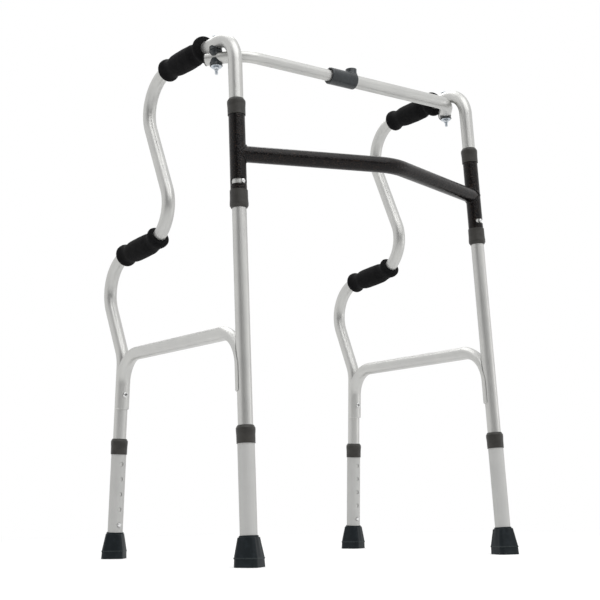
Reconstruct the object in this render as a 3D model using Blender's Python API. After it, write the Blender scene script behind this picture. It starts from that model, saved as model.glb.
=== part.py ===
"""Reciprocal walker: two bent side frames that turn in the sleeves of a black cross brace.

World frame: metres, +Z up, floor at Z = 0, X = 0 midway between the frames, front at -Y.
"left" is the frame at -X and "right" the frame at +X, as seen by someone facing the front.
A side frame is drawn in its own plane: n across, u rearward, w up.
A leg has its own frame too: z runs up the leg axis from the floor, y points rearward.
"""
import math

import bmesh
import bpy
from mathutils import Matrix, Vector

# Tubes and fits
FRAME_OD = 0.0222
FRAME_WALL = 0.0012
EXTENSION_OD = 0.0254
EXTENSION_WALL = 0.0012
SLEEVE_OD = 0.0254
SLEEVE_WALL = 0.0005
BUSH_WALL = 0.0005
CROSS_TUBE_OD = 0.0254
CROSS_TUBE_WALL = 0.0012
BAR_INNER_OD = 0.01905
BAR_INNER_WALL = 0.0012
BAR_OUTER_OD = 0.0222
BAR_OUTER_WALL = 0.0010
GAP = 0.0003
SIDES = 16
BEND_STEP_DEG = 15.0

# Stance
FRONT_LEG_Y = -0.2013
TRACK = 0.502
BASE = 0.414
LEG_LEAN_DEG = 3.3
FRAME_TIP_DEG = 0.65
TOE_OUT_DEG = 0.6

# Side frame line
TUBE_END_W = 0.032
HANDLE_W = 0.812
HANDLE_REAR_U = 0.3453
HANDLE_FLARE = 0.0052
WAIST_U = 0.2120
WAIST_W = 0.5284
WAIST_FLARE = 0.0008
LOW_REAR_U = 0.4761
LOW_REAR_W = 0.5105
LOW_FLARE = 0.0052
KNEE_W = 0.3381
TOP_BEND_R = 0.0480
REAR_BEND_R = 0.0629
WAIST_BEND_R = 0.0591
LOW_BEND_R = 0.0633
KNEE_BEND_R = 0.0600

# Leg extension, foot, collar
FOOT_H = 0.044
FOOT_FLOOR = 0.008
FOOT_LIP_Z = 0.0128
FOOT_BASE_R = 0.0231
FOOT_LIP_R = 0.0236
FOOT_TOP_R = 0.0167
COLLAR_BOTTOM_S = 0.1743
COLLAR_H = 0.0265
COLLAR_R = 0.0139
COLLAR_LIP_R = 0.0144
COLLAR_ROOF = 0.0030
HOLE_FIRST_S = 0.0565
HOLE_PITCH = 0.0254
HOLE_COUNT = 5
HOLE_D = 0.0072

# Snap buttons
BUTTON_D = 0.0064
BUTTON_PROUD = 0.0022
BUTTON_BASE_R = 0.0074
BUTTON_FLANGE_D = 0.0086
LEAF_T = 0.0008
LEAF_W = 0.0080
LEAF_L = 0.0360

# Sleeves and cross tube
LOW_COLLAR_DROP = 0.2842
LOW_COLLAR_H = 0.0280
HIGH_COLLAR_DROP = 0.1354
LOW_COLLAR_S = HANDLE_W - LOW_COLLAR_DROP
HIGH_COLLAR_S = HANDLE_W - HIGH_COLLAR_DROP
SLEEVE_S0 = LOW_COLLAR_S + COLLAR_ROOF + GAP
SLEEVE_S1 = HIGH_COLLAR_S + COLLAR_H - COLLAR_ROOF - GAP
SLOT_UP = 0.0407
SLOT_S = LOW_COLLAR_S + SLOT_UP
SLOT_H = 0.0076
SLOT_OUTER_DEG = 108.0
SLOT_INNER_DEG = 38.0
CROSS_DROP = 0.1970
CROSS_S = HANDLE_W - CROSS_DROP
CROSS_BULGE = 0.0780
CROSS_BEND_R = 0.0800

# Lower brace
BRACE_OD = 0.0222
BRACE_INSET = 0.0025
BRACE_CUP_HALF_W = 0.0126
BRACE_TIP_W = 0.2500
BRACE_RISE = 0.0917
BRACE_TOP_W = BRACE_TIP_W + BRACE_RISE
BRACE_BEND_R = {"front": 0.0540, "rear": 0.0500}
BRACE_SQUASH = {"front": 0.0024, "rear": 0.0}
BRACE_WRAP = 0.0015
BRACE_CHAMFER = 0.0012
BRACE_SEAM_UP = {"front": 0.0845, "rear": 0.0930}
BRACE_SEAM_DEG = 16.0
SCREW_UP = {"front": 0.0120, "rear": 0.0250}
SCREW_HEAD_R = 0.0046
SCREW_HEAD_H = 0.0024
SCREW_SHANK_R = 0.0020
SCREW_LENGTH = 0.0105

# Grips
GRIP_FRONT_U = 0.1270
GRIP_LENGTH = 0.1245
GRIP_FRONT_BEAD_R = 0.0225
LOW_GRIP_FRONT_U = 0.2715
LOW_GRIP_LENGTH = 0.1200
GRIP_MID_R = 0.0187
GRIP_NECK_R = 0.0168
GRIP_BEAD_R = 0.0193
GRIP_BEAD_L = 0.0140
GRIP_BEAD_ROLL = 0.0040

# Top crossbar and pivots
PIVOT_U = 0.0985
BAR_SETBACK = 0.0615
BAR_DROP = 0.0258
BAR_Y = FRONT_LEG_Y + BAR_SETBACK
BAR_Z = HANDLE_W - BAR_DROP
BAR_END_DEG = 52.0
BAR_BEND_R = 0.0500
BAR_TAIL = 0.0165
BAR_SPARE_HOLE_X = -0.1640
BAR_SPARE_HOLE_R = 0.0020
BAR_INNER_TIP_X = 0.0300
BAR_OUTER_TIP_X = -0.0400
BAR_SLEEVE_X0 = -0.0478
BAR_SLEEVE_X1 = 0.0040
BAR_SLEEVE_R = 0.0139
BAR_BUTTON_X = -0.0010
BAR_BOSS_R = 0.0096
BAR_BOSS_WALL = 0.0020
BAR_BOSS_TOP = 0.0202
BAR_CAP_T = 0.0022
BAR_CAP_LIP = 0.0005
BAR_PLUG_L = 0.0060
SADDLE_R = 0.0103
SADDLE_EAR = 0.0006
THRUST_T = 0.0005
THRUST_R = 0.0088
PIVOT_FLAT_DROP = 0.0123
SADDLE_FOOT_DROP = 0.0388
WASHER_R = 0.0090
WASHER_T = 0.0012
NUT_AF = 0.0085
NUT_H = 0.0047
BOLT_R = 0.0025
BOLT_HOLE_R = 0.0028
BOLT_END_DROP = 0.0530
BOLT_HEAD_R = 0.0048
BOLT_HEAD_H = 0.0032

LEFT, RIGHT = -1, 1
NAMES = {LEFT: "left", RIGHT: "right"}
FRAME_R = FRAME_OD / 2
BRACE_R = BRACE_OD / 2
LEAN = math.radians(LEG_LEAN_DEG)
BRACE_TURN = math.pi / 2 - LEAN
BRACE_SEAT = BRACE_INSET + BRACE_R * math.cos(math.pi / SIDES)
PAST = 0.003
ROUND = 12
UP = Vector((0.0, 0.0, 1.0))
FORWARD = Vector((0.0, -1.0, 0.0))

# colour (linear RGB), roughness, metallic of every finish
FINISHES = {
    "anodised": ((0.60, 0.60, 0.58), 0.38, 0.85),
    "black_coat": ((0.012, 0.011, 0.012), 0.35, 0.10),
    "grey_plastic": ((0.050, 0.048, 0.046), 0.55, 0.0),
    "slate_plastic": ((0.040, 0.045, 0.050), 0.45, 0.0),
    "foam": ((0.010, 0.010, 0.011), 0.85, 0.0),
    "rubber": ((0.012, 0.016, 0.020), 0.62, 0.0),
    "zinc": ((0.52, 0.56, 0.60), 0.32, 0.95),
    "steel": ((0.66, 0.66, 0.65), 0.22, 1.0),
    "black_cap": ((0.010, 0.010, 0.010), 0.50, 0.0),
    "nylon": ((0.30, 0.30, 0.29), 0.50, 0.0),
}


# Frames of reference
def side_matrix(side):
    """Placement of a side frame's plane: tipped inward at the top and toed out at the rear."""
    tip = Matrix.Rotation(-side * math.radians(FRAME_TIP_DEG), 4, "Y")
    toe = Matrix.Rotation(-side * math.radians(TOE_OUT_DEG), 4, "Z")
    return Matrix.Translation((side * TRACK / 2, FRONT_LEG_Y, 0.0)) @ tip @ toe


def leg_matrix(side, end):
    """Placement of a leg's own frame, z up the leg axis and y rearward."""
    if end == "front":
        return side_matrix(side) @ Matrix.Rotation(-LEAN, 4, "X")
    return side_matrix(side) @ Matrix.Translation((0.0, BASE, 0.0)) @ Matrix.Rotation(LEAN, 4, "X")


def front_u(w):
    """Rearward place of the front leg's axis at height w in the side plane."""
    return w * math.tan(LEAN)


def rear_u(w):
    """Rearward place of the rear leg's axis at height w in the side plane."""
    return BASE - w * math.tan(LEAN)


def handle_way(side):
    """Direction of the handle tube in the side plane, a little outward towards the rear."""
    run = HANDLE_REAR_U - front_u(HANDLE_W)
    return Vector((side * HANDLE_FLARE, run, 0.0)).normalized()


def pivot_matrix(side):
    """Frame of a pivot bolt: origin on the handle tube's line, z up along the bolt."""
    lean = Matrix.Rotation(-LEAN, 4, "X")
    along = PIVOT_U - front_u(BAR_Z)
    way = handle_way(side)
    start = Vector((0.0, front_u(HANDLE_W), HANDLE_W))
    return side_matrix(side) @ Matrix.Translation(start + way * (along / way.y)) @ lean


def pivot_z(drop):
    """Place along the bolt's axis of a drop below the handle tube's line."""
    return -drop / math.cos(LEAN)


# Paths
def filleted(corners, radii):
    """Polyline through the corners with each inner corner rounded to its radius."""
    points = [Vector(corners[0])]
    for index, radius in enumerate(radii, start=1):
        corner = Vector(corners[index])
        back = (Vector(corners[index - 1]) - corner).normalized()
        ahead = (Vector(corners[index + 1]) - corner).normalized()
        turn = math.pi - back.angle(ahead)
        reach = radius * math.tan(turn / 2)
        centre = corner + (back + ahead).normalized() * (radius / math.cos(turn / 2))
        start = corner + back * reach - centre
        end = corner + ahead * reach - centre
        steps = max(2, math.ceil(math.degrees(turn) / BEND_STEP_DEG))
        for step in range(steps + 1):
            part = step / steps
            near = start * (math.sin((1 - part) * turn) / math.sin(turn))
            far = end * (math.sin(part * turn) / math.sin(turn))
            points.append(centre + near + far)
    points.append(Vector(corners[-1]))
    return points


def stations(points):
    """Distance of every point along its polyline."""
    lengths = [0.0]
    for before, after in zip(points, points[1:]):
        lengths.append(lengths[-1] + (after - before).length)
    return lengths


def clipped(points, start, end, extra=()):
    """The polyline's stretch between two distances, with points added at the extra ones."""
    lengths = stations(points)
    wanted = {round(value, 7) for value in (start, end, *extra)}
    wanted |= {round(value, 7) for value in lengths if start + 0.0005 < value < end - 0.0005}
    stretch = []
    for value in sorted(wanted):
        index = max(i for i, length in enumerate(lengths[:-1]) if length <= value + 1e-9)
        share = (value - lengths[index]) / (lengths[index + 1] - lengths[index])
        stretch.append((value - start, points[index].lerp(points[index + 1], share)))
    return stretch


def side_line(side):
    """Centre line of the bent side tube, from the front leg's foot end to the rear leg's."""
    corners = [
        (0.0, front_u(TUBE_END_W), TUBE_END_W),
        (0.0, front_u(HANDLE_W), HANDLE_W),
        (side * HANDLE_FLARE, HANDLE_REAR_U, HANDLE_W),
        (side * WAIST_FLARE, WAIST_U, WAIST_W),
        (side * LOW_FLARE, LOW_REAR_U, LOW_REAR_W),
        (0.0, rear_u(KNEE_W), KNEE_W),
        (0.0, rear_u(TUBE_END_W), TUBE_END_W),
    ]
    radii = [TOP_BEND_R, REAR_BEND_R, WAIST_BEND_R, LOW_BEND_R, KNEE_BEND_R]
    return filleted(corners, radii)


def brace_line():
    """Centre line of the lower brace, whose ends run down just inside the two leg axes."""
    corners = [
        (0.0, rear_u(BRACE_TIP_W) - BRACE_INSET, BRACE_TIP_W),
        (0.0, rear_u(BRACE_TOP_W) - BRACE_INSET, BRACE_TOP_W),
        (0.0, front_u(BRACE_TOP_W) + BRACE_INSET, BRACE_TOP_W),
        (0.0, front_u(BRACE_TIP_W) + BRACE_INSET, BRACE_TIP_W),
    ]
    return filleted(corners, [BRACE_BEND_R["rear"], BRACE_BEND_R["front"]])


def bar_corner_x(side):
    """Where a crossbar half's straight part would meet its bent end."""
    pivot = pivot_on_bar(side)
    return pivot.x - side * (pivot.y - BAR_Y) / math.tan(math.radians(BAR_END_DEG))


def pivot_on_bar(side):
    """World point where the bolt axis crosses the crossbar's height."""
    matrix = pivot_matrix(side)
    top = matrix.translation
    axis = matrix.to_3x3() @ UP
    return top + axis * ((BAR_Z - top.z) / axis.z)


def bar_line(side, tip_x):
    """Centre line of a crossbar half, from its tip to its tail behind the bolt."""
    pivot = pivot_on_bar(side)
    corner = Vector((bar_corner_x(side), BAR_Y, BAR_Z))
    tail = pivot + (pivot - corner).normalized() * BAR_TAIL
    return filleted([(tip_x, BAR_Y, BAR_Z), corner, tail], [BAR_BEND_R])


def cross_line():
    """Centre line of the black cross tube between the two sleeve axes."""
    left = leg_matrix(LEFT, "front") @ Vector((0.0, 0.0, CROSS_S))
    right = leg_matrix(RIGHT, "front") @ Vector((0.0, 0.0, CROSS_S))
    apex = Vector((0.0, left.y - CROSS_BULGE, left.z))
    return filleted([left, apex, right], [CROSS_BEND_R])


# Solids
def skin(mesh, rings, closed):
    """Joins equal rings into a wall, closed on itself or capped at both ends."""
    loops = [[mesh.verts.new(point) for point in ring] for ring in rings]
    pairs = list(zip(loops, loops[1:]))
    if closed:
        pairs.append((loops[-1], loops[0]))
    count = len(loops[0])
    for lower, upper in pairs:
        for index in range(count):
            after = (index + 1) % count
            mesh.faces.new((lower[index], lower[after], upper[after], upper[index]))
    if not closed:
        mesh.faces.new(loops[0])
        mesh.faces.new(loops[-1])


def ring_axes(points, index, across):
    """Two unit vectors spanning the ring plane at a point of a planar path."""
    before = points[max(index - 1, 0)]
    after = points[min(index + 1, len(points) - 1)]
    ahead = after - points[index] if index < len(points) - 1 else points[index] - before
    behind = points[index] - before if index > 0 else ahead
    tangent = (ahead.normalized() + behind.normalized()).normalized()
    second = tangent.cross(across).normalized()
    return second.cross(tangent), second


def swept_rings(points, radii, across, depths=None):
    """Rings of the given radii along a planar path; across is the normal of its plane.

    Oval rings take their half-thickness in the path's plane from depths.
    """
    rings = []
    for index, (point, radius) in enumerate(zip(points, radii)):
        first, second = ring_axes(points, index, across)
        depth = depths[index] if depths else radius
        ring = []
        for side in range(SIDES):
            angle = 2 * math.pi * (side + 0.5) / SIDES
            wide, deep = math.cos(angle) * radius, math.sin(angle) * depth
            ring.append(point + first * wide + second * deep)
        rings.append(ring)
    return rings


def tube(points, outer, inner, across):
    """Open pipe along a planar path."""
    mesh = bmesh.new()
    outside = swept_rings(points, [outer] * len(points), across)
    inside = swept_rings(points, [inner] * len(points), across)
    skin(mesh, outside + inside[::-1], True)
    return mesh


def lathe(profile, sides=SIDES):
    """Body with a bore, turned from a closed outline of (radius, z) points."""
    mesh = bmesh.new()
    rings = []
    for radius, z in profile:
        ring = []
        for side in range(sides):
            angle = 2 * math.pi * (side + 0.5) / sides
            ring.append(Vector((radius * math.cos(angle), radius * math.sin(angle), z)))
        rings.append(ring)
    skin(mesh, rings, True)
    return mesh


def rod(profile, sides=SIDES):
    """Solid body turned from an open outline of (radius, z) points, flat at both ends."""
    mesh = bmesh.new()
    rings = []
    for radius, z in profile:
        ring = []
        for side in range(sides):
            angle = 2 * math.pi * (side + 0.5) / sides
            ring.append(Vector((radius * math.cos(angle), radius * math.sin(angle), z)))
        rings.append(ring)
    skin(mesh, rings, False)
    return mesh


def block(low, high):
    """Box between two opposite corners."""
    mesh = bmesh.new()
    bmesh.ops.create_cube(mesh, size=1.0)
    low, high = Vector(low), Vector(high)
    size = high - low
    for vert in mesh.verts:
        vert.co = (low + high) / 2 + Vector(a * b for a, b in zip(vert.co, size))
    return mesh


def sector(inner, outer, z0, z1, start_deg, end_deg):
    """Part of a ring between two angles, measured from -Y towards +X."""
    mesh = bmesh.new()
    steps = max(2, math.ceil((end_deg - start_deg) / BEND_STEP_DEG))
    rings = []
    for step in range(steps + 1):
        angle = math.radians(start_deg + (end_deg - start_deg) * step / steps)
        way = Vector((math.sin(angle), -math.cos(angle), 0.0))
        corners = ((inner, z0), (outer, z0), (outer, z1), (inner, z1))
        rings.append([way * reach + UP * height for reach, height in corners])
    skin(mesh, rings, False)
    return mesh


def turned_to(direction, origin):
    """Matrix that lays a body's z axis along a direction at an origin."""
    turn = UP.rotation_difference(Vector(direction)).to_matrix().to_4x4()
    return Matrix.Translation(origin) @ turn


# Objects
def finish_of(name, finish):
    """The object's own material, with the finish's colour, roughness and metal share."""
    colour, roughness, metallic = FINISHES[finish]
    material = bpy.data.materials.new(name + "_" + finish)
    material.use_nodes = True
    shader = material.node_tree.nodes["Principled BSDF"]
    shader.inputs["Base Color"].default_value = (*colour, 1.0)
    shader.inputs["Roughness"].default_value = roughness
    shader.inputs["Metallic"].default_value = metallic
    return material


def to_object(name, mesh, matrix):
    """Object in world coordinates from a body drawn in its own frame."""
    mesh.transform(matrix)
    bmesh.ops.recalc_face_normals(mesh, faces=mesh.faces)
    data = bpy.data.meshes.new(name)
    mesh.to_mesh(data)
    mesh.free()
    item = bpy.data.objects.new(name, data)
    bpy.context.scene.collection.objects.link(item)
    return item


def combined(item, others, operation):
    """Applies a boolean of the other bodies to the object and removes them."""
    for other in others:
        other.hide_render = True
        other.display_type = "WIRE"
        modifier = item.modifiers.new("shape", "BOOLEAN")
        modifier.operation = operation
        modifier.solver = "EXACT"
        modifier.object = other
    bpy.context.view_layer.update()
    graph = bpy.context.evaluated_depsgraph_get()
    shaped = bpy.data.meshes.new_from_object(item.evaluated_get(graph))
    item.modifiers.clear()
    item.data = shaped
    for other in others:
        bpy.data.objects.remove(other)


def cut(item, cutters):
    """Removes the (body, matrix) cutters from the object."""
    combined(item, [to_object("cutter", body, matrix) for body, matrix in cutters], "DIFFERENCE")


def finished(item, finish, origin):
    """Smooths the object, gives it its finish and puts its origin on its joint axis."""
    origin = Vector(origin)
    mesh = bmesh.new()
    mesh.from_mesh(item.data)
    bmesh.ops.remove_doubles(mesh, verts=mesh.verts, dist=0.00001)
    bmesh.ops.dissolve_degenerate(mesh, edges=mesh.edges, dist=0.00001)
    bmesh.ops.triangulate(mesh, faces=mesh.faces)
    mesh.transform(Matrix.Translation(-origin))
    mesh.to_mesh(item.data)
    mesh.free()
    item.location = origin
    item.data.materials.clear()
    item.data.materials.append(finish_of(item.name, finish))
    item.data.shade_smooth()
    item.data.set_sharp_from_angle(angle=math.radians(35.0))
    return item


def across_of(matrix):
    """World direction of a frame's x axis."""
    return (matrix.to_3x3() @ Vector((1.0, 0.0, 0.0))).normalized()


# Legs
def collar_body(wall_r, body_h, flipped):
    """Plastic collar that caps a tube's end and closes down onto the frame tube."""
    bore = FRAME_R + GAP
    pocket = wall_r + GAP
    roof = body_h - COLLAR_ROOF
    profile = [
        (pocket, 0.0), (COLLAR_R, 0.0), (COLLAR_R, body_h * 0.47), (COLLAR_LIP_R, body_h * 0.74),
        (COLLAR_LIP_R - 0.0002, body_h * 0.88), (bore + 0.0012, body_h), (bore, body_h), (bore, roof),
        (pocket, roof),
    ]
    if flipped:
        profile = [(radius, body_h - z) for radius, z in profile]
    return lathe(profile)


def foot_ring(z, radius, flat, leg_axis, blend):
    """Ring of a foot at height z: a circle trimmed by four flats, levelled near the floor."""
    ring = []
    for side in range(SIDES):
        angle = 2 * math.pi * (side + 0.5) / SIDES
        quarter = (angle + math.pi / 4) % (math.pi / 2) - math.pi / 4
        reach = min(radius, flat / math.cos(quarter))
        point = Vector((reach * math.cos(angle), reach * math.sin(angle), 0.0))
        level = Vector((point.x, point.y, 0.0))
        level.z = -(leg_axis.x * level.x + leg_axis.y * level.y) / leg_axis.z
        ring.append(Vector((0.0, 0.0, z)) + point.lerp(level, blend))
    return ring


def foot(side, end):
    """Rubber ferrule: level tread, raised lip, tapered flats and a socket for the leg."""
    matrix = leg_matrix(side, end)
    floor_normal = matrix.to_3x3().inverted() @ Vector((0.0, 0.0, 1.0))
    socket = EXTENSION_OD / 2 + GAP
    rings = [
        foot_ring(FOOT_FLOOR, socket, 1.0, floor_normal, 0.0),
        foot_ring(FOOT_H, socket, 1.0, floor_normal, 0.0),
        foot_ring(FOOT_H, socket + 0.0016, 1.0, floor_normal, 0.0),
        foot_ring(FOOT_H - 0.0022, socket + 0.0018, 1.0, floor_normal, 0.0),
        foot_ring(FOOT_H - 0.0026, FOOT_TOP_R, FOOT_TOP_R - 0.0006, floor_normal, 0.0),
        foot_ring(FOOT_LIP_Z + 0.0014, FOOT_BASE_R - 0.0002, FOOT_BASE_R - 0.0014, floor_normal, 1.0),
        foot_ring(FOOT_LIP_Z + 0.0008, FOOT_LIP_R, 1.0, floor_normal, 1.0),
        foot_ring(FOOT_LIP_Z - 0.0006, FOOT_LIP_R, 1.0, floor_normal, 1.0),
        foot_ring(FOOT_LIP_Z - 0.0012, FOOT_BASE_R - 0.0004, 1.0, floor_normal, 1.0),
        foot_ring(0.0008, FOOT_BASE_R, 1.0, floor_normal, 1.0),
        foot_ring(0.0, FOOT_BASE_R - 0.0008, 1.0, floor_normal, 1.0),
    ]
    mesh = bmesh.new()
    skin(mesh, rings, False)
    item = to_object("_".join((NAMES[side], end, "foot")), mesh, matrix)
    return finished(item, "rubber", matrix.translation)


def hole_way(end):
    """Side of a leg its snap button looks to: the front leg's rearward, the rear leg's forward."""
    return Vector((0.0, 1.0 if end == "front" else -1.0, 0.0))


def radial_hole(matrix, way, s, radius, start, stop):
    """Cutter for a round hole through a leg's wall, from start to stop off the axis."""
    body = rod([(radius, start), (radius, stop)], ROUND)
    return body, matrix @ turned_to(way, (0.0, 0.0, s))


def extension(side, end):
    """Outer leg tube with five snap holes on one side."""
    matrix = leg_matrix(side, end)
    outer = EXTENSION_OD / 2
    inner = outer - EXTENSION_WALL
    low = FOOT_FLOOR + GAP
    high = COLLAR_BOTTOM_S + COLLAR_H - COLLAR_ROOF - GAP
    body = lathe([(outer, low), (outer, high), (inner, high), (inner, low)])
    item = to_object("_".join((NAMES[side], end, "extension")), body, matrix)
    holes = []
    for index in range(HOLE_COUNT):
        s = HOLE_FIRST_S + index * HOLE_PITCH
        holes.append(radial_hole(matrix, hole_way(end), s, HOLE_D / 2, inner - PAST, outer + PAST))
    cut(item, holes)
    return finished(item, "anodised", matrix.translation)


def extension_collar(side, end):
    """Grey collar at the top of a leg extension."""
    matrix = leg_matrix(side, end)
    place = matrix @ Matrix.Translation((0.0, 0.0, COLLAR_BOTTOM_S))
    body = collar_body(EXTENSION_OD / 2, COLLAR_H, False)
    item = to_object("_".join((NAMES[side], end, "collar")), body, place)
    return finished(item, "grey_plastic", place.translation)


def button_body(tip):
    """Snap button with its flange and leaf spring; z points out of the tube, y along it."""
    half = BUTTON_D / 2
    pin = rod([
        (BUTTON_FLANGE_D / 2, BUTTON_BASE_R), (BUTTON_FLANGE_D / 2, BUTTON_BASE_R + LEAF_T),
        (half, BUTTON_BASE_R + LEAF_T), (half, tip - 0.0013), (half - 0.0008, tip - 0.0004),
        (half - 0.0022, tip),
    ], ROUND)
    low, high = BUTTON_BASE_R - LEAF_T, BUTTON_BASE_R + 0.0001
    return pin, block((-LEAF_W / 2, -LEAF_L / 2, low), (LEAF_W / 2, LEAF_L / 2, high))


def snap_button(name, matrix, tip):
    """Snap button placed with its tip outward along the matrix's z."""
    pin, leaf = button_body(tip)
    item = to_object(name, pin, matrix)
    combined(item, [to_object("leaf", leaf, matrix)], "UNION")
    return finished(item, "steel", matrix.translation)


def leg_button(side, end):
    """Button of the frame tube that locks a leg extension at the lowest hole."""
    matrix = leg_matrix(side, end) @ turned_to(hole_way(end), (0.0, 0.0, HOLE_FIRST_S))
    name = "_".join((NAMES[side], end, "button"))
    return snap_button(name, matrix, EXTENSION_OD / 2 + BUTTON_PROUD)


# Side frame
def frame_tube(side):
    """The bent side tube with its button, screw and bolt holes."""
    matrix = side_matrix(side)
    points = [matrix @ point for point in side_line(side)]
    mesh = tube(points, FRAME_R, FRAME_R - FRAME_WALL, across_of(matrix))
    item = to_object(NAMES[side] + "_frame_tube", mesh, Matrix.Identity(4))
    near, far = FRAME_R - FRAME_WALL - PAST, FRAME_R + PAST
    cutters = [(rod([(BOLT_HOLE_R, -FRAME_OD), (BOLT_HOLE_R, FRAME_OD)], ROUND), pivot_matrix(side))]
    for end in ("front", "rear"):
        leg = leg_matrix(side, end)
        cutters.append(radial_hole(leg, hole_way(end), HOLE_FIRST_S, HOLE_D / 2, near, far))
        cutters.append(radial_hole(leg, hole_way(end), screw_s(end), SCREW_SHANK_R + GAP, near, far))
    front = leg_matrix(side, "front")
    cutters.append(radial_hole(front, FORWARD, SLOT_S, BUTTON_D / 2 + GAP, near, far))
    cut(item, cutters)
    return finished(item, "anodised", front.translation)


def screw_s(end):
    """Distance up the leg of the screw in a brace end."""
    return (BRACE_TIP_W + SCREW_UP[end]) / math.cos(LEAN)


def bend_share(depth, end):
    """Share of a brace bend passed at a distance from the brace's tip, 0 on the upright part."""
    upright = BRACE_RISE / math.cos(LEAN) - BRACE_BEND_R[end] * math.tan(BRACE_TURN / 2)
    return min(max((depth - upright) / (BRACE_BEND_R[end] * BRACE_TURN), 0.0), 1.0)


def brace_rings(matrix):
    """Oval rings of the brace: wider where it is cupped round a leg, flatter in a tight bend."""
    line = brace_line()
    total = stations(line)[-1]
    pieces = clipped(line, 0.0, total, (1.25 * BRACE_CHAMFER, total - 1.25 * BRACE_CHAMFER))
    points, radii, depths = [], [], []
    for index, (value, point) in enumerate(pieces):
        end = "rear" if value < total / 2 else "front"
        depth = min(value, total - value)
        share = bend_share(depth, end)
        squash = BRACE_SQUASH[end] * math.sin(math.pi * share)
        if squash > 0.0:
            before, after = pieces[index - 1][1], pieces[index + 1][1]
            inward = (before - point).normalized() + (after - point).normalized()
            point = point + inward.normalized() * squash
        chamfer = BRACE_CHAMFER if depth < BRACE_CHAMFER else 0.0
        points.append(matrix @ point)
        radii.append(BRACE_CUP_HALF_W + (BRACE_R - BRACE_CUP_HALF_W) * share - chamfer)
        depths.append(BRACE_R - squash - chamfer)
    return swept_rings(points, radii, across_of(matrix), depths)


def brace(side):
    """Lower brace: a round tube whose ends are cupped round the insides of both legs."""
    matrix = side_matrix(side)
    mesh = bmesh.new()
    skin(mesh, brace_rings(matrix), False)
    item = to_object(NAMES[side] + "_lower_brace", mesh, Matrix.Identity(4))
    cutters = []
    low, high = BRACE_TIP_W - 0.010, BRACE_TOP_W + 2 * BRACE_OD
    for end in ("front", "rear"):
        leg = leg_matrix(side, end)
        way = hole_way(end).y
        channel = FRAME_R + GAP
        seam_w = BRACE_TIP_W + BRACE_SEAM_UP[end]
        cutters.append((rod([(channel, low), (channel, high)]), leg))
        ys = sorted((-way * BRACE_WRAP, -way * BRACE_OD))
        cutters.append((block((-BRACE_OD, ys[0], low), (BRACE_OD, ys[1], seam_w)), leg))
        seam_s = seam_w / math.cos(LEAN)
        tilt = Matrix.Rotation(-way * math.radians(BRACE_SEAM_DEG), 4, "X")
        seam = leg @ Matrix.Translation((0.0, way * FRAME_R, seam_s)) @ tilt
        ys = sorted((0.0, -way * 2 * BRACE_OD))
        below = block((-1.1 * BRACE_OD, ys[0], -3 * BRACE_OD), (1.1 * BRACE_OD, ys[1], BRACE_OD))
        cutters.append((below, seam))
        hole = SCREW_SHANK_R + GAP
        reach = BRACE_SEAT + PAST
        cutters.append(radial_hole(leg, hole_way(end), screw_s(end), hole, FRAME_R - PAST / 3, reach))
    cut(item, cutters)
    return finished(item, "anodised", matrix.translation)


def brace_screw(side, end):
    """Pan-head screw that holds a cupped brace end on its leg."""
    matrix = leg_matrix(side, end) @ turned_to(hole_way(end), (0.0, 0.0, screw_s(end)))
    seat = BRACE_SEAT + GAP
    body = rod([
        (SCREW_SHANK_R - 0.0005, seat - SCREW_LENGTH), (SCREW_SHANK_R, seat - SCREW_LENGTH + 0.0008),
        (SCREW_SHANK_R, seat), (SCREW_HEAD_R, seat), (SCREW_HEAD_R, seat + SCREW_HEAD_H * 0.45),
        (SCREW_HEAD_R * 0.62, seat + SCREW_HEAD_H),
    ], ROUND)
    item = to_object("_".join((NAMES[side], end, "brace_screw")), body, matrix)
    top = seat + SCREW_HEAD_H
    low = seat + SCREW_HEAD_H * 0.4
    cut(item, [
        (block((-0.0024, -0.0005, low), (0.0024, 0.0005, top + 0.001)), matrix),
        (block((-0.0005, -0.0024, low), (0.0005, 0.0024, top + 0.001)), matrix),
    ])
    return finished(item, "steel", matrix.translation)


def station_at(u, w):
    """Distance along the side line where it passes a rearward place u, nearest to height w."""
    line = side_line(LEFT)
    lengths = stations(line)
    found = []
    for index, (a, b) in enumerate(zip(line, line[1:])):
        if a.y <= u < b.y:
            share = (u - a.y) / (b.y - a.y)
            found.append((abs(a.lerp(b, share).z - w), lengths[index] + share * (b - a).length))
    return min(found)[1]


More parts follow.
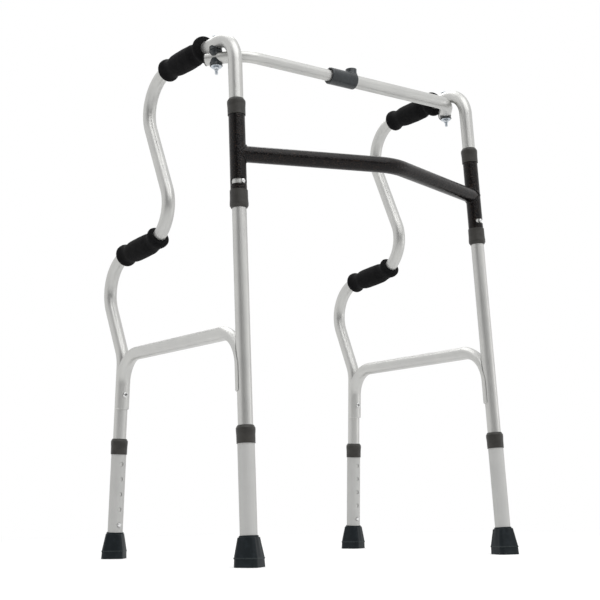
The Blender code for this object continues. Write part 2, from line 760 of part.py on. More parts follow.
def grip(side, name, start, length, front_bead):
    """Foam grip that follows the tube, with a bead at each end and a fuller middle."""
    matrix = side_matrix(side)
    barrel = GRIP_MID_R - GRIP_NECK_R
    bead = [
        (0.0, GRIP_BEAD_ROLL), (GRIP_BEAD_L * 0.14, GRIP_BEAD_ROLL * 0.25), (GRIP_BEAD_L * 0.41, 0.0),
        (GRIP_BEAD_L * 0.71, GRIP_BEAD_ROLL * 0.22),
    ]
    profile = [(value, front_bead - drop) for value, drop in bead]
    profile += [
        (GRIP_BEAD_L, GRIP_NECK_R), (length * 0.30, GRIP_NECK_R + barrel * 0.75), (length * 0.50, GRIP_MID_R),
        (length * 0.70, GRIP_NECK_R + barrel * 0.75), (length - GRIP_BEAD_L, GRIP_NECK_R),
    ]
    profile += [(length - value, GRIP_BEAD_R - drop) for value, drop in reversed(bead)]
    extra = [start + value for value, _ in profile]
    pieces = clipped(side_line(side), start, start + length, extra)
    points = [matrix @ point for _, point in pieces]
    outer = []
    for value, _ in pieces:
        after = next(i for i, knot in enumerate(profile) if knot[0] >= value - 1e-6)
        before = max(after - 1, 0)
        span = profile[after][0] - profile[before][0]
        share = (value - profile[before][0]) / span if span > 0 else 0.0
        outer.append(profile[before][1] + (profile[after][1] - profile[before][1]) * share)
    across = across_of(matrix)
    bore = [FRAME_R + GAP] * len(points)
    mesh = bmesh.new()
    skin(mesh, swept_rings(points, outer, across) + swept_rings(points, bore, across)[::-1], True)
    item = to_object(NAMES[side] + "_" + name, mesh, Matrix.Identity(4))
    return finished(item, "foam", points[0])


# Cross brace
def sleeve(side):
    """Black sleeve round a front leg, slotted for the swing button."""
    matrix = leg_matrix(side, "front")
    outer = SLEEVE_OD / 2
    inner = outer - SLEEVE_WALL
    profile = [(outer, SLEEVE_S0), (outer, SLEEVE_S1), (inner, SLEEVE_S1), (inner, SLEEVE_S0)]
    item = to_object(NAMES[side] + "_sleeve", lathe(profile), matrix)
    if side == LEFT:
        start, end = -SLOT_OUTER_DEG, SLOT_INNER_DEG
    else:
        start, end = -SLOT_INNER_DEG, SLOT_OUTER_DEG
    low, high = SLOT_S - SLOT_H / 2, SLOT_S + SLOT_H / 2
    cut(item, [(sector(inner - PAST, outer + PAST, low, high, start, end), matrix)])
    return finished(item, "black_coat", matrix.translation)


def cross_tube():
    """Bent black tube between the sleeves, its ends mitred to the sleeves' outsides."""
    radius = CROSS_TUBE_OD / 2
    mesh = tube(cross_line(), radius, radius - CROSS_TUBE_WALL, UP)
    item = to_object("cross_tube", mesh, Matrix.Identity(4))
    clear = SLEEVE_OD / 2 + GAP
    cutters = []
    for side in (LEFT, RIGHT):
        reach = 2 * CROSS_TUBE_OD
        body = rod([(clear, CROSS_S - reach), (clear, CROSS_S + reach)])
        cutters.append((body, leg_matrix(side, "front")))
        outward = sorted((side * clear / 3, side * reach))
        stub = block((outward[0], -reach, CROSS_S - reach), (outward[1], reach, CROSS_S + reach))
        cutters.append((stub, leg_matrix(side, "front")))
    cut(item, cutters)
    return finished(item, "black_coat", (0.0, FRONT_LEG_Y, 0.0))


def sleeve_collar(side, place):
    """Grey collar at one end of a sleeve."""
    high = place == "upper"
    s, length = (HIGH_COLLAR_S, COLLAR_H) if high else (LOW_COLLAR_S, LOW_COLLAR_H)
    matrix = leg_matrix(side, "front") @ Matrix.Translation((0.0, 0.0, s))
    body = collar_body(SLEEVE_OD / 2, length, not high)
    item = to_object("_".join((NAMES[side], "sleeve_collar", place)), body, matrix)
    return finished(item, "grey_plastic", matrix.translation)


def pivot_bush(side):
    """Thin plastic bush between the front leg and its sleeve."""
    matrix = leg_matrix(side, "front")
    inner = FRAME_R + GAP
    outer = inner + BUSH_WALL
    low, high = SLOT_S + 0.020, SLEEVE_S1 - 0.002
    item = to_object(NAMES[side] + "_pivot_bush",
                     lathe([(outer, low), (outer, high), (inner, high), (inner, low)]), matrix)
    return finished(item, "nylon", matrix.translation)


def swing_button(side):
    """Button of the front leg that runs in the sleeve's slot."""
    matrix = leg_matrix(side, "front") @ turned_to(FORWARD, (0.0, 0.0, SLOT_S))
    return snap_button(NAMES[side] + "_swing_button", matrix, SLEEVE_OD / 2 + BUTTON_PROUD)


# Top crossbar
def bar_half(side):
    """Crossbar half: the left one slides inside the right one."""
    if side == LEFT:
        outer, wall, tip = BAR_INNER_OD / 2, BAR_INNER_WALL, BAR_INNER_TIP_X
    else:
        outer, wall, tip = BAR_OUTER_OD / 2, BAR_OUTER_WALL, BAR_OUTER_TIP_X
    mesh = tube(bar_line(side, tip), outer, outer - wall, UP)
    item = to_object(NAMES[side] + "_crossbar", mesh, Matrix.Identity(4))
    middle = pivot_z(BAR_DROP)
    hole = rod([(BOLT_HOLE_R, middle - BAR_OUTER_OD), (BOLT_HOLE_R, middle + BAR_OUTER_OD)], ROUND)
    snap = Matrix.Translation((BAR_BUTTON_X, BAR_Y, BAR_Z))
    clear = BUTTON_D / 2 + GAP
    window = rod([(clear, outer - wall - PAST), (clear, outer + PAST)], ROUND)
    cutters = [(hole, pivot_matrix(side)), (window, snap)]
    if side == LEFT:
        below = Matrix.Translation((BAR_SPARE_HOLE_X, BAR_Y, BAR_Z - outer))
        cutters.append((rod([(BAR_SPARE_HOLE_R, -PAST), (BAR_SPARE_HOLE_R, PAST)], ROUND), below))
    cut(item, cutters)
    return finished(item, "anodised", pivot_on_bar(side))


def bar_radius(side):
    """Outer radius of a crossbar half."""
    return (BAR_INNER_OD if side == LEFT else BAR_OUTER_OD) / 2


def bar_cap(side):
    """Black plug in the rear end of a crossbar half."""
    line = bar_line(side, 0.0)
    tail = line[-1]
    direction = (tail - line[-2]).normalized()
    outer = bar_radius(side)
    wall = BAR_INNER_WALL if side == LEFT else BAR_OUTER_WALL
    plug = outer - wall - GAP
    body = rod([
        (plug, -BAR_PLUG_L), (plug, GAP), (outer + BAR_CAP_LIP, GAP), (outer + BAR_CAP_LIP, BAR_CAP_T * 0.6),
        (outer - 0.0008, BAR_CAP_T),
    ])
    matrix = Matrix.Translation(tail) @ basis(direction, UP)
    item = to_object(NAMES[side] + "_crossbar_cap", body, matrix)
    return finished(item, "black_cap", pivot_on_bar(side))


def basis(direction, across):
    """Rotation whose z lies along a direction and whose x lies along a vector across it."""
    third = direction.cross(across).normalized()
    return Matrix((across, third, direction)).transposed().to_4x4()


def bar_sleeve():
    """Slate plastic sleeve round the joint of the crossbar, with a hood round its button."""
    along = Vector((1.0, 0.0, 0.0))
    start = Vector((BAR_SLEEVE_X0, BAR_Y, BAR_Z))
    matrix = Matrix.Translation(start) @ basis(along, UP)
    length = BAR_SLEEVE_X1 - BAR_SLEEVE_X0
    bore = BAR_OUTER_OD / 2 + GAP
    body = rod([
        (BAR_SLEEVE_R - 0.0006, 0.0), (BAR_SLEEVE_R, 0.0010), (BAR_SLEEVE_R, length - 0.0010),
        (BAR_SLEEVE_R - 0.0006, length),
    ])
    item = to_object("crossbar_sleeve", body, matrix)
    snap = Matrix.Translation((BAR_BUTTON_X, BAR_Y, BAR_Z))
    boss = rod([
        (BAR_BOSS_R, BAR_BOSS_R / 2), (BAR_BOSS_R, BAR_BOSS_TOP - 0.0006), (BAR_BOSS_R - 0.0006, BAR_BOSS_TOP),
    ])
    combined(item, [to_object("boss", boss, snap)], "UNION")
    well = BAR_BOSS_R - BAR_BOSS_WALL
    low = (BAR_SLEEVE_X1, BAR_Y - BAR_OUTER_OD, BAR_Z)
    high = (BAR_BOSS_R, BAR_Y + BAR_OUTER_OD, BAR_Z + BAR_OUTER_OD)
    cut(item, [
        (rod([(bore, -PAST), (bore, length + PAST)]), matrix),
        (rod([(well, BAR_BOSS_R / 4), (well, 2 * BAR_BOSS_TOP)]), snap),
        (block(low, high), Matrix.Identity(4)),
    ])
    return finished(item, "slate_plastic", pivot_on_bar(RIGHT))


def bar_button():
    """Snap button of the inner crossbar half, standing in the sleeve's boss."""
    matrix = Matrix.Translation((BAR_BUTTON_X, BAR_Y, BAR_Z))
    tip = BAR_SLEEVE_R + BUTTON_PROUD
    half = BUTTON_D / 2
    base = BAR_INNER_OD / 2 - BAR_INNER_WALL - 0.0024
    pin = rod([
        (half + 0.0010, base), (half + 0.0010, base + LEAF_T), (half, base + LEAF_T),
        (half, tip - 0.0013), (half - 0.0008, tip - 0.0004), (half - 0.0022, tip),
    ], ROUND)
    item = to_object("crossbar_button", pin, matrix)
    leaf = block((-LEAF_L / 2, -half, base - LEAF_T), (LEAF_L / 2, half, base + 0.0001))
    combined(item, [to_object("leaf", leaf, matrix)], "UNION")
    return finished(item, "steel", matrix.translation)


# Pivots
def saddle(name, side, ends, groove):
    """Round spacer on the bolt, hollowed on one side by a (body, matrix) groove cutter."""
    low, high = sorted(ends)
    matrix = pivot_matrix(side)
    item = to_object(NAMES[side] + "_" + name, rod([(SADDLE_R, low), (SADDLE_R, high)]), matrix)
    hole = rod([(BOLT_HOLE_R, low - PAST), (BOLT_HOLE_R, high + PAST)], ROUND)
    cut(item, [(hole, matrix), groove])
    return finished(item, "slate_plastic", matrix.translation)


def handle_groove(side):
    """Cutter that follows the handle tube past the bolt."""
    matrix = side_matrix(side)
    place = station_at(PIVOT_U, HANDLE_W)
    pieces = clipped(side_line(side), place - BAR_OUTER_OD, place + BAR_OUTER_OD)
    points = [matrix @ point for _, point in pieces]
    mesh = bmesh.new()
    skin(mesh, swept_rings(points, [FRAME_R + GAP] * len(points), across_of(matrix)), False)
    return mesh, Matrix.Identity(4)


def ring_washer(name, side, radius, top, thickness, finish):
    """Flat washer on the bolt."""
    matrix = pivot_matrix(side)
    low = top - thickness
    body = lathe([(radius, low), (radius, top), (BOLT_HOLE_R, top), (BOLT_HOLE_R, low)])
    return finished(to_object(NAMES[side] + "_" + name, body, matrix), finish, matrix.translation)


def ear_height(cutter):
    """Height off a tube's centre at which a saddle's ears are still thick enough."""
    return math.sqrt(cutter ** 2 - (SADDLE_R - SADDLE_EAR) ** 2)


def pivot_stack(side):
    """Bolt, nut, washers and saddles that join a side frame to its crossbar half."""
    matrix = pivot_matrix(side)
    bar_cut = bar_radius(side) + GAP
    line = bar_line(side, 0.0)
    bar = Matrix.Translation(pivot_on_bar(side)) @ basis((line[-1] - line[-2]).normalized(), UP)
    reach = 2 * SADDLE_R
    flat = pivot_z(PIVOT_FLAT_DROP)
    middle = pivot_z(BAR_DROP)
    low = pivot_z(SADDLE_FOOT_DROP)
    ear = ear_height(bar_cut)
    thrust_top = flat - GAP
    washer_top = low - GAP
    nut_top = washer_top - WASHER_T - GAP
    saddle("saddle_upper", side, (flat, -ear_height(FRAME_R + GAP)), handle_groove(side))
    top = thrust_top - THRUST_T - GAP
    saddle("saddle_middle", side, (top, middle + ear), (rod([(bar_cut, -reach), (bar_cut, reach)]), bar))
    saddle("saddle_lower", side, (low, middle - ear), (rod([(bar_cut, -reach), (bar_cut, reach)]), bar))
    ring_washer("thrust_washer", side, THRUST_R, thrust_top, THRUST_T, "nylon")
    ring_washer("pivot_washer", side, WASHER_R, washer_top, WASHER_T, "zinc")
    pivot_nut(side, nut_top)
    pivot_bolt(side)


def pivot_nut(side, top):
    """Lock nut under the washer, rounded in at its lower end."""
    matrix = pivot_matrix(side)
    corner = NUT_AF / 2 / math.cos(math.pi / 6)
    profile = [(corner * 0.80, top - NUT_H), (corner, top - NUT_H * 0.72), (corner, top)]
    item = to_object(NAMES[side] + "_pivot_nut", rod(profile, 6), matrix)
    bore = rod([(BOLT_HOLE_R, top - NUT_H - PAST), (BOLT_HOLE_R, top + PAST)], ROUND)
    cut(item, [(bore, matrix)])
    return finished(item, "zinc", matrix.translation)


def pivot_bolt(side):
    """Dome-headed bolt through the handle tube and the crossbar's tail."""
    matrix = pivot_matrix(side)
    seat = FRAME_R + GAP
    end = pivot_z(BOLT_END_DROP)
    profile = [
        (BOLT_R - 0.0006, end), (BOLT_R, end + 0.0008), (BOLT_R, seat), (BOLT_HEAD_R, seat),
        (BOLT_HEAD_R, seat + BOLT_HEAD_H * 0.35), (BOLT_HEAD_R * 0.78, seat + BOLT_HEAD_H * 0.8),
        (BOLT_HEAD_R * 0.4, seat + BOLT_HEAD_H),
    ]
    item = to_object(NAMES[side] + "_pivot_bolt", rod(profile, ROUND), matrix)
    return finished(item, "zinc", matrix.translation)


def build():
    """Builds every sub-part of the walker."""
    for item in list(bpy.data.objects):
        bpy.data.objects.remove(item)
    upper_grip = station_at(GRIP_FRONT_U, HANDLE_W)
    lower_grip = station_at(LOW_GRIP_FRONT_U, LOW_REAR_W)
    for side in (LEFT, RIGHT):
        frame_tube(side)
        brace(side)
        grip(side, "upper_grip", upper_grip, GRIP_LENGTH, GRIP_FRONT_BEAD_R)
        grip(side, "lower_grip", lower_grip, LOW_GRIP_LENGTH, GRIP_BEAD_R)
        for end in ("front", "rear"):
            extension(side, end)
            extension_collar(side, end)
            foot(side, end)
            leg_button(side, end)
            brace_screw(side, end)
        sleeve(side)
        sleeve_collar(side, "upper")
        sleeve_collar(side, "lower")
        pivot_bush(side)
        swing_button(side)
        bar_half(side)
        bar_cap(side)
        pivot_stack(side)
    cross_tube()
    bar_sleeve()
    bar_button()


build()
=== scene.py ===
"""Looks of the reciprocal walker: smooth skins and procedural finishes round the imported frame.

Row frame: metres, +Z up, floor at Z 0, front at -Y. "left" is the side frame at -X.
A side frame is drawn in its own plane: x across, y rearward, z up. A leg's own frame has z up the
leg axis and y rearward. Every skin is a grid: rows run along a piece and columns run round it.
"""

import logging
import math
from dataclasses import dataclass
from enum import Enum
from typing import Any, Callable

import bmesh
import bpy
import numpy as np
from mathutils import Matrix


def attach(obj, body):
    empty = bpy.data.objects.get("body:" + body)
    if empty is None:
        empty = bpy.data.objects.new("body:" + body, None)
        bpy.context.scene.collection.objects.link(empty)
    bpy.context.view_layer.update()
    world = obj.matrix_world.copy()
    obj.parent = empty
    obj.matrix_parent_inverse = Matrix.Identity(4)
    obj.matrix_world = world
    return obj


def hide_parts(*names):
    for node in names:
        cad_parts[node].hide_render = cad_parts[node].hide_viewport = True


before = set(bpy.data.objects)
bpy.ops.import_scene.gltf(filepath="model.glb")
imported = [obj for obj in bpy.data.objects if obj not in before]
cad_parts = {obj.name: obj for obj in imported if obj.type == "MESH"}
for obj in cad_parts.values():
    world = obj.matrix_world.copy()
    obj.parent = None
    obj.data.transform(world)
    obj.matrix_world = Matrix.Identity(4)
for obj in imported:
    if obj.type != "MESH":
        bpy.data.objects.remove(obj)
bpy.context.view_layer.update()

Array = np.ndarray
Colour = tuple[float, float, float]
LOG = logging.getLogger("walker")
UP = np.array([0.0, 0.0, 1.0])
HOLD = 0.25
PROFILE_STEP = math.radians(22.5)
WORN_TURN = math.radians(15.0)
WELD_DISTANCE = 1e-6
TINY = 1e-6
SMOOTH_BELOW = math.radians(38.0)
GRAIN_STARTS, GRAIN_STEP = 97, 0.37


class Side(Enum):
    """One of the two side frames; the value is the sign of its X."""

    LEFT = -1
    RIGHT = 1

    @property
    def word(self) -> str:
        """The side's name as the frame's nodes and bodies spell it."""
        return self.name.lower()


class End(Enum):
    """Front or rear leg; the value is the sign of the way from the leg to the frame's middle."""

    FRONT = 1
    REAR = -1

    @property
    def word(self) -> str:
        """The end's name as the frame's nodes and bodies spell it."""
        return self.name.lower()


class Slot(Enum):
    """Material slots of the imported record."""

    ANODISED = "anodised"
    BLACK_COAT = "black_coat"
    GREY_PLASTIC = "grey_plastic"
    SLATE_PLASTIC = "slate_plastic"
    FOAM = "foam"
    RUBBER = "rubber_foot"
    ZINC = "zinc"
    STEEL = "steel"
    BLACK_CAP = "black_cap"
    NYLON = "nylon"


# Places and placements
def shift(x: float, y: float, z: float) -> Array:
    """4x4 matrix of a move.

    Args:
        x: move across.
        y: move rearward.
        z: move up.

    Returns:
        The matrix.
    """
    matrix = np.eye(4)
    matrix[:3, 3] = (x, y, z)
    return matrix


def turn(axis: str, angle: float) -> Array:
    """4x4 matrix of a right-handed turn about X, Y or Z, in radians.

    Args:
        axis: X, Y or Z.
        angle: the turn.

    Returns:
        The matrix.
    """
    first, second = {"X": (1, 2), "Y": (2, 0), "Z": (0, 1)}[axis]
    matrix = np.eye(4)
    matrix[first, first] = matrix[second, second] = math.cos(angle)
    matrix[second, first] = math.sin(angle)
    matrix[first, second] = -math.sin(angle)
    return matrix


def placed(matrix: Array, points: Array) -> Array:
    """Points of a local frame in the frame that the matrix leads to."""
    return points @ matrix[:3, :3].T + matrix[:3, 3]


def unit(vectors: Array) -> Array:
    """Vectors scaled to length one."""
    return vectors / np.linalg.norm(vectors, axis=-1, keepdims=True)


def basis(origin: Array, direction: Array, across: Array) -> Array:
    """Matrix whose z lies along a direction and whose x lies along a vector across it.

    Args:
        origin: where the frame stands.
        direction: the way of its z.
        across: a vector near its x, not along the direction.

    Returns:
        The 4x4 matrix.
    """
    z = unit(direction)
    y = unit(np.cross(z, across))
    matrix = np.eye(4)
    matrix[:3, 0], matrix[:3, 1], matrix[:3, 2] = np.cross(y, z), y, z
    matrix[:3, 3] = origin
    return matrix


@dataclass(frozen=True)
class Stance:
    """Where the frames, legs and pivots stand; shared by every sub-assembly."""

    front_leg_y: float = -0.2013
    track: float = 0.502
    base: float = 0.414
    lean: float = math.radians(3.3)
    tip: float = math.radians(0.65)
    toe: float = math.radians(0.6)
    handle_w: float = 0.812
    handle_rear_u: float = 0.3453
    handle_flare: float = 0.0052
    pivot_u: float = 0.0985
    bar_drop: float = 0.0258
    tube_r: float = 0.0111
    gap: float = 0.0003

    def front_u(self, w: float) -> float:
        """Rearward place of the front leg's axis at height w."""
        return w * math.tan(self.lean)

    def rear_u(self, w: float) -> float:
        """Rearward place of the rear leg's axis at height w."""
        return self.base - w * math.tan(self.lean)

    def side(self, side: Side) -> Array:
        """Placement of a side frame's plane: tipped in at the top and toed out at the rear."""
        start = shift(side.value * self.track / 2, self.front_leg_y, 0.0)
        return start @ turn("Y", -side.value * self.tip) @ turn("Z", -side.value * self.toe)

    def leg(self, side: Side, end: End) -> Array:
        """Placement of a leg's own frame, z up its axis and y rearward."""
        back = 0.0 if end is End.FRONT else self.base
        return self.side(side) @ shift(0.0, back, 0.0) @ turn("X", -end.value * self.lean)

    def out_of_leg(self, side: Side, end: End, s: float, toward: float) -> Array:
        """Frame at s up a leg; its z looks rearward for toward 1 and forward for toward -1."""
        return self.leg(side, end) @ shift(0.0, 0.0, s) @ turn("X", -toward * math.pi / 2)

    def pivot(self, side: Side) -> Array:
        """Frame of a pivot bolt, whose origin is on the handle tube's line.

        Args:
            side: the side frame that the bolt is on.

        Returns:
            The 4x4 matrix, z up along the bolt.
        """
        start = np.array([0.0, self.front_u(self.handle_w), self.handle_w])
        run = self.handle_rear_u - self.front_u(self.handle_w)
        way = unit(np.array([side.value * self.handle_flare, run, 0.0]))
        along = self.pivot_u - self.front_u(self.handle_w - self.bar_drop)
        x, y, z = start + way * (along / way[1])
        return self.side(side) @ shift(x, y, z) @ turn("X", -self.lean)


STANCE = Stance()


# Lines and profiles
def filleted(corners: Array, radii: Array, step: float = math.radians(3.0), hold: float = 0.0) -> Array:
    """Polyline whose inner corners are rounded by circle arcs.

    An arc's centre lies on the corner's bisector, radius / cos(turn / 2) away, and its points are the
    slerp of the two end radii.

    Args:
        corners: points, one row each.
        radii: one radius for each inner corner; 0 keeps the corner sharp.
        step: largest turn between two points of an arc.
        hold: extra points this share of the radius before and after each arc, which keep flats flat.

    Returns:
        The points of the rounded line.
    """
    corners = np.asarray(corners, float)
    pieces = [corners[:1]]
    for before, corner, after, radius in zip(corners, corners[1:], corners[2:], radii):
        back, ahead = unit(before - corner), unit(after - corner)
        angle = math.pi - math.acos(float(np.clip(back @ ahead, -1.0, 1.0)))
        if radius <= 0.0 or angle < TINY:
            pieces.append(corner[None])
            continue
        reach = radius * math.tan(angle / 2)
        centre = corner + unit(back + ahead) * (radius / math.cos(angle / 2))
        start, end = corner + back * reach - centre, corner + ahead * reach - centre
        share = np.linspace(0.0, 1.0, max(2, math.ceil(angle / step)) + 1)[:, None]
        arc = (start * np.sin((1 - share) * angle) + end * np.sin(share * angle)) / math.sin(angle)
        if hold > 0.0:
            pieces.append((corner + back * (reach + hold * radius))[None])
        pieces.append(centre + arc)
        if hold > 0.0:
            pieces.append((corner + ahead * (reach + hold * radius))[None])
    pieces.append(corners[-1:])
    return np.concatenate(pieces)


def profile(corners: list[tuple[float, float, float]]) -> Array:
    """Open outline of (distance off the axis, height) points with rounded corners.

    Args:
        corners: (distance, height, corner radius) of each corner, the outside going up.

    Returns:
        The outline's points.
    """
    table = np.asarray(corners, float)
    return filleted(table[:, :2], table[1:-1, 2], PROFILE_STEP, HOLD)


def ring_profile(corners: list[tuple[float, float, float]]) -> Array:
    """Closed outline of the same kind, whose last point joins its first.

    Args:
        corners: (distance, height, corner radius) of each corner, the outside going up.

    Returns:
        The outline's points, from the middle of the closing side round to it.
    """
    table = np.asarray(corners, float)
    middle = (table[0, :2] + table[-1, :2]) / 2
    line = np.concatenate([middle[None], table[:, :2], middle[None]])
    return filleted(line, table[:, 2], PROFILE_STEP, HOLD)[:-1]


def run_lengths(line: Array) -> Array:
    """Distance of every point along its polyline."""
    return np.concatenate([[0.0], np.cumsum(np.linalg.norm(np.diff(line, axis=0), axis=1))])


def along(line: Array, wanted: Array) -> Array:
    """Points at the wanted distances along a polyline."""
    lengths = run_lengths(line)
    return np.stack([np.interp(wanted, lengths, line[:, axis]) for axis in range(3)], axis=1)


def stretch(line: Array, start: float, end: float, spacing: float) -> Array:
    """Distances along a polyline, evenly spaced, with those of its own points.

    Args:
        line: the polyline's points.
        start: first distance.
        end: last distance.
        spacing: largest step of the even ones; own points within a third of it of an end are left out.

    Returns:
        The distances, in order.
    """
    lengths = run_lengths(line)
    even = np.linspace(start, end, max(2, math.ceil((end - start) / spacing)) + 1)
    own = lengths[(lengths > start + spacing / 3) & (lengths < end - spacing / 3)]
    return np.unique(np.round(np.concatenate([even, own]), 6))


def smoothstep(low: float, high: float, values: Array) -> Array:
    """0 below low, 1 above high, and 3t^2 - 2t^3 between."""
    share = np.clip((values - low) / (high - low), 0.0, 1.0)
    return share * share * (3 - 2 * share)


# Skins
@dataclass
class Skin:
    """Grid of points, closed round its columns, with what its finish follows.

    Attributes:
        points: places, with shape (rows, columns, 3).
        run: place on the unrolled skin, of the same shape.
        wear: 1 where an edge is rubbed, and on the foot's ridge where it paints a highlight, and -1 deep in a
            recess, where it paints shade, with shape (rows, columns).
        keep: one entry for each cell, False where the skin is open.
        closed_along: True where the last row joins the first.
        capped: True where each end ring is closed by a flat face.
    """

    points: Array
    run: Array
    wear: Array | None = None
    keep: Array | None = None
    closed_along: bool = False
    capped: bool = False

    def faces(self, first: int) -> list[list[int]]:
        """Quads of the grid, and a flat face over each end ring if it is capped.

        Args:
            first: index of the grid's first vertex in the mesh.

        Returns:
            Vertex indices of every face, turning outward.
        """
        rows, columns = self.points.shape[:2]
        i = np.arange(rows if self.closed_along else rows - 1)[:, None]
        j = np.arange(columns)[None, :]
        row, next_row, after_j = i * columns, (i + 1) % rows * columns, (j + 1) % columns
        quads = np.stack((row + j, row + after_j, next_row + after_j, next_row + j), axis=-1)
        if self.keep is not None:
            quads = quads[self.keep]
        listed = (quads.reshape(-1, 4) + first).tolist()
        if self.capped:
            ring = np.arange(columns) + first
            listed += [ring[::-1].tolist(), (ring + (rows - 1) * columns).tolist()]
        return listed


def angles(columns: int) -> Array:
    """Evenly spaced angles of a full turn."""
    return np.arange(columns) * (2 * math.pi / columns)


def unrolled(radii: Array, theta: Array, lengths: Array) -> Array:
    """Place on the unrolled skin: the ring's own two coordinates and the length along the piece.

    Args:
        radii: one for each row, or for each point.
        theta: angles of the columns.
        lengths: length along the piece of each row.

    Returns:
        Places with shape (rows, columns, 3).
    """
    wide = np.broadcast_to(radii, (len(lengths), len(theta)))
    length = np.broadcast_to(lengths[:, None], wide.shape)
    return np.stack([wide * np.cos(theta), wide * np.sin(theta), length], axis=-1)


def piped(line: Array, across: Array, radius: float, wall: float, columns: int = 56) -> Skin:
    """Pipe along a line: the outer rings one way, then the bore's rings back, closed over both rims.

    Args:
        line: the path's points.
        across: normal of the path's plane.
        radius: the pipe's outer radius.
        wall: its wall.
        columns: points round a ring.

    Returns:
        The closed skin.
    """
    outer = swept(line, across, radius, columns)
    inner = swept(line, across, radius - wall, columns)
    wear = np.zeros((2 * len(line), columns))
    wear[[0, len(line) - 1]] = 1.0
    points = np.concatenate([outer.points, inner.points[::-1]])
    return Skin(points, np.concatenate([outer.run, inner.run[::-1]]), wear, closed_along=True)


def swept(line: Array, across: Array, radii: Array | float, columns: int = 48,
          depths: Array | None = None) -> Skin:
    """Oval rings carried along a nearly planar line.

    A ring's point is line + first * radius * cos(theta) + second * depth * sin(theta), where second is
    the tangent crossed with the plane's normal, and first is second crossed with the tangent.

    Args:
        line: the path's points.
        across: normal of the path's plane.
        radii: half-width of each ring, or of each of its points.
        columns: points round a ring.
        depths: half-thickness in the path's plane, where it differs.

    Returns:
        The skin, open at both ends.
    """
    parts = unit(np.diff(line, axis=0))
    tangent = unit(np.concatenate([parts[:1], parts[:-1] + parts[1:], parts[-1:]]))
    second = unit(np.cross(tangent, across))
    first = np.cross(second, tangent)
    theta = angles(columns)
    radii = np.asarray(radii, float)
    radii = radii[:, None] if radii.ndim == 1 else radii
    depth = radii if depths is None else depths[:, None]
    wide = np.broadcast_to(radii, (len(line), columns)) * np.cos(theta)
    deep = np.broadcast_to(depth, (len(line), columns)) * np.sin(theta)
    points = line[:, None] + first[:, None] * wide[..., None] + second[:, None] * deep[..., None]
    return Skin(points, unrolled(radii, theta, run_lengths(line)))


def turned(outline: Array, matrix: Array, columns: int | Array = 48, closed: bool = False,
           reach: Callable[[Array, Array, Array], Array] | None = None) -> Skin:
    """Outline of (radius, z) points turned about a frame's z axis.

    Wear is the outline's own left turn at each point, so that outer edges are rubbed.

    Args:
        outline: points from the foot of the axis, up the outside.
        matrix: the frame.
        columns: points round a ring, or their angles.
        closed: True for a body with a bore, whose outline is a loop.
        reach: optional change of the radii, from (radius, z, angle) grids.

    Returns:
        The skin.
    """
    theta = angles(columns) if isinstance(columns, int) else columns
    radius, z = outline[:, :1], outline[:, 1:]
    wide = np.broadcast_to(radius, (len(outline), len(theta)))
    if reach is not None:
        wide = reach(wide, np.broadcast_to(z, wide.shape), np.broadcast_to(theta, wide.shape))
    local = np.stack([wide * np.cos(theta), wide * np.sin(theta), np.broadcast_to(z, wide.shape)], axis=-1)
    before, after = np.roll(outline, 1, axis=0), np.roll(outline, -1, axis=0)
    inward, outward = outline - before, after - outline
    turning = inward[:, 0] * outward[:, 1] - inward[:, 1] * outward[:, 0]
    worn = np.clip(np.arctan2(turning, (inward * outward).sum(axis=1)) / WORN_TURN, 0.0, 1.0)
    if not closed:
        worn[[0, -1]] = 0.0
    wear = np.broadcast_to(worn[:, None], wide.shape)
    run = unrolled(wide, theta, run_lengths(outline))
    return Skin(placed(matrix, local), run, wear, closed_along=closed)


class Mark:
    """Round hole on the side of a tube's grid, made by bending square rings of cells into circles."""

    RIM = 0.52
    CELLS = 8
    OUTER = (0.66, 0.82, 1.0)

    def __init__(self, radius: float) -> None:
        """Keeps the hole's radius and the half-side of the square of cells round it."""
        self.radius = radius
        self.half = radius / self.RIM

    def lines(self) -> Array:
        """Grid lines of the square, from -1 to 1, with lines on the hole's rim.

        Returns:
            The lines' places, in half-sides.
        """
        inner = np.linspace(-self.RIM, self.RIM, self.CELLS + 1)
        outer = np.array(self.OUTER)
        return np.concatenate([-outer[::-1], inner, outer])

    def bent(self, a: Array, b: Array) -> tuple[Array, Array, Array]:
        """Moves a square's points so that its rings inside the rim are circles.

        On the square ring at Chebyshev distance c, (p, q) = (a, b) / c goes to the circle point
        (p * sqrt(1 - q^2 / 2), q * sqrt(1 - p^2 / 2)); that is mixed in fully inside the rim and not
        at all on the square's outline.

        Args:
            a: places across the square, in half-sides from its middle.
            b: places up the square.

        Returns:
            The moved a and b, and the Chebyshev distance.
        """
        ring = np.maximum(np.abs(a), np.abs(b))
        safe = np.maximum(ring, 1e-9)
        p, q = np.clip(a / safe, -1.0, 1.0), np.clip(b / safe, -1.0, 1.0)
        share = np.where(ring < 1.0, 1.0 - smoothstep(self.RIM, 1.0, ring), 0.0)
        round_a, round_b = p * np.sqrt(1 - q * q / 2), q * np.sqrt(1 - p * p / 2)
        new_a = ring * (p + (round_a - p) * share)
        new_b = ring * (q + (round_b - q) * share)
        return np.where(ring < 1.0, new_a, a), np.where(ring < 1.0, new_b, b), ring


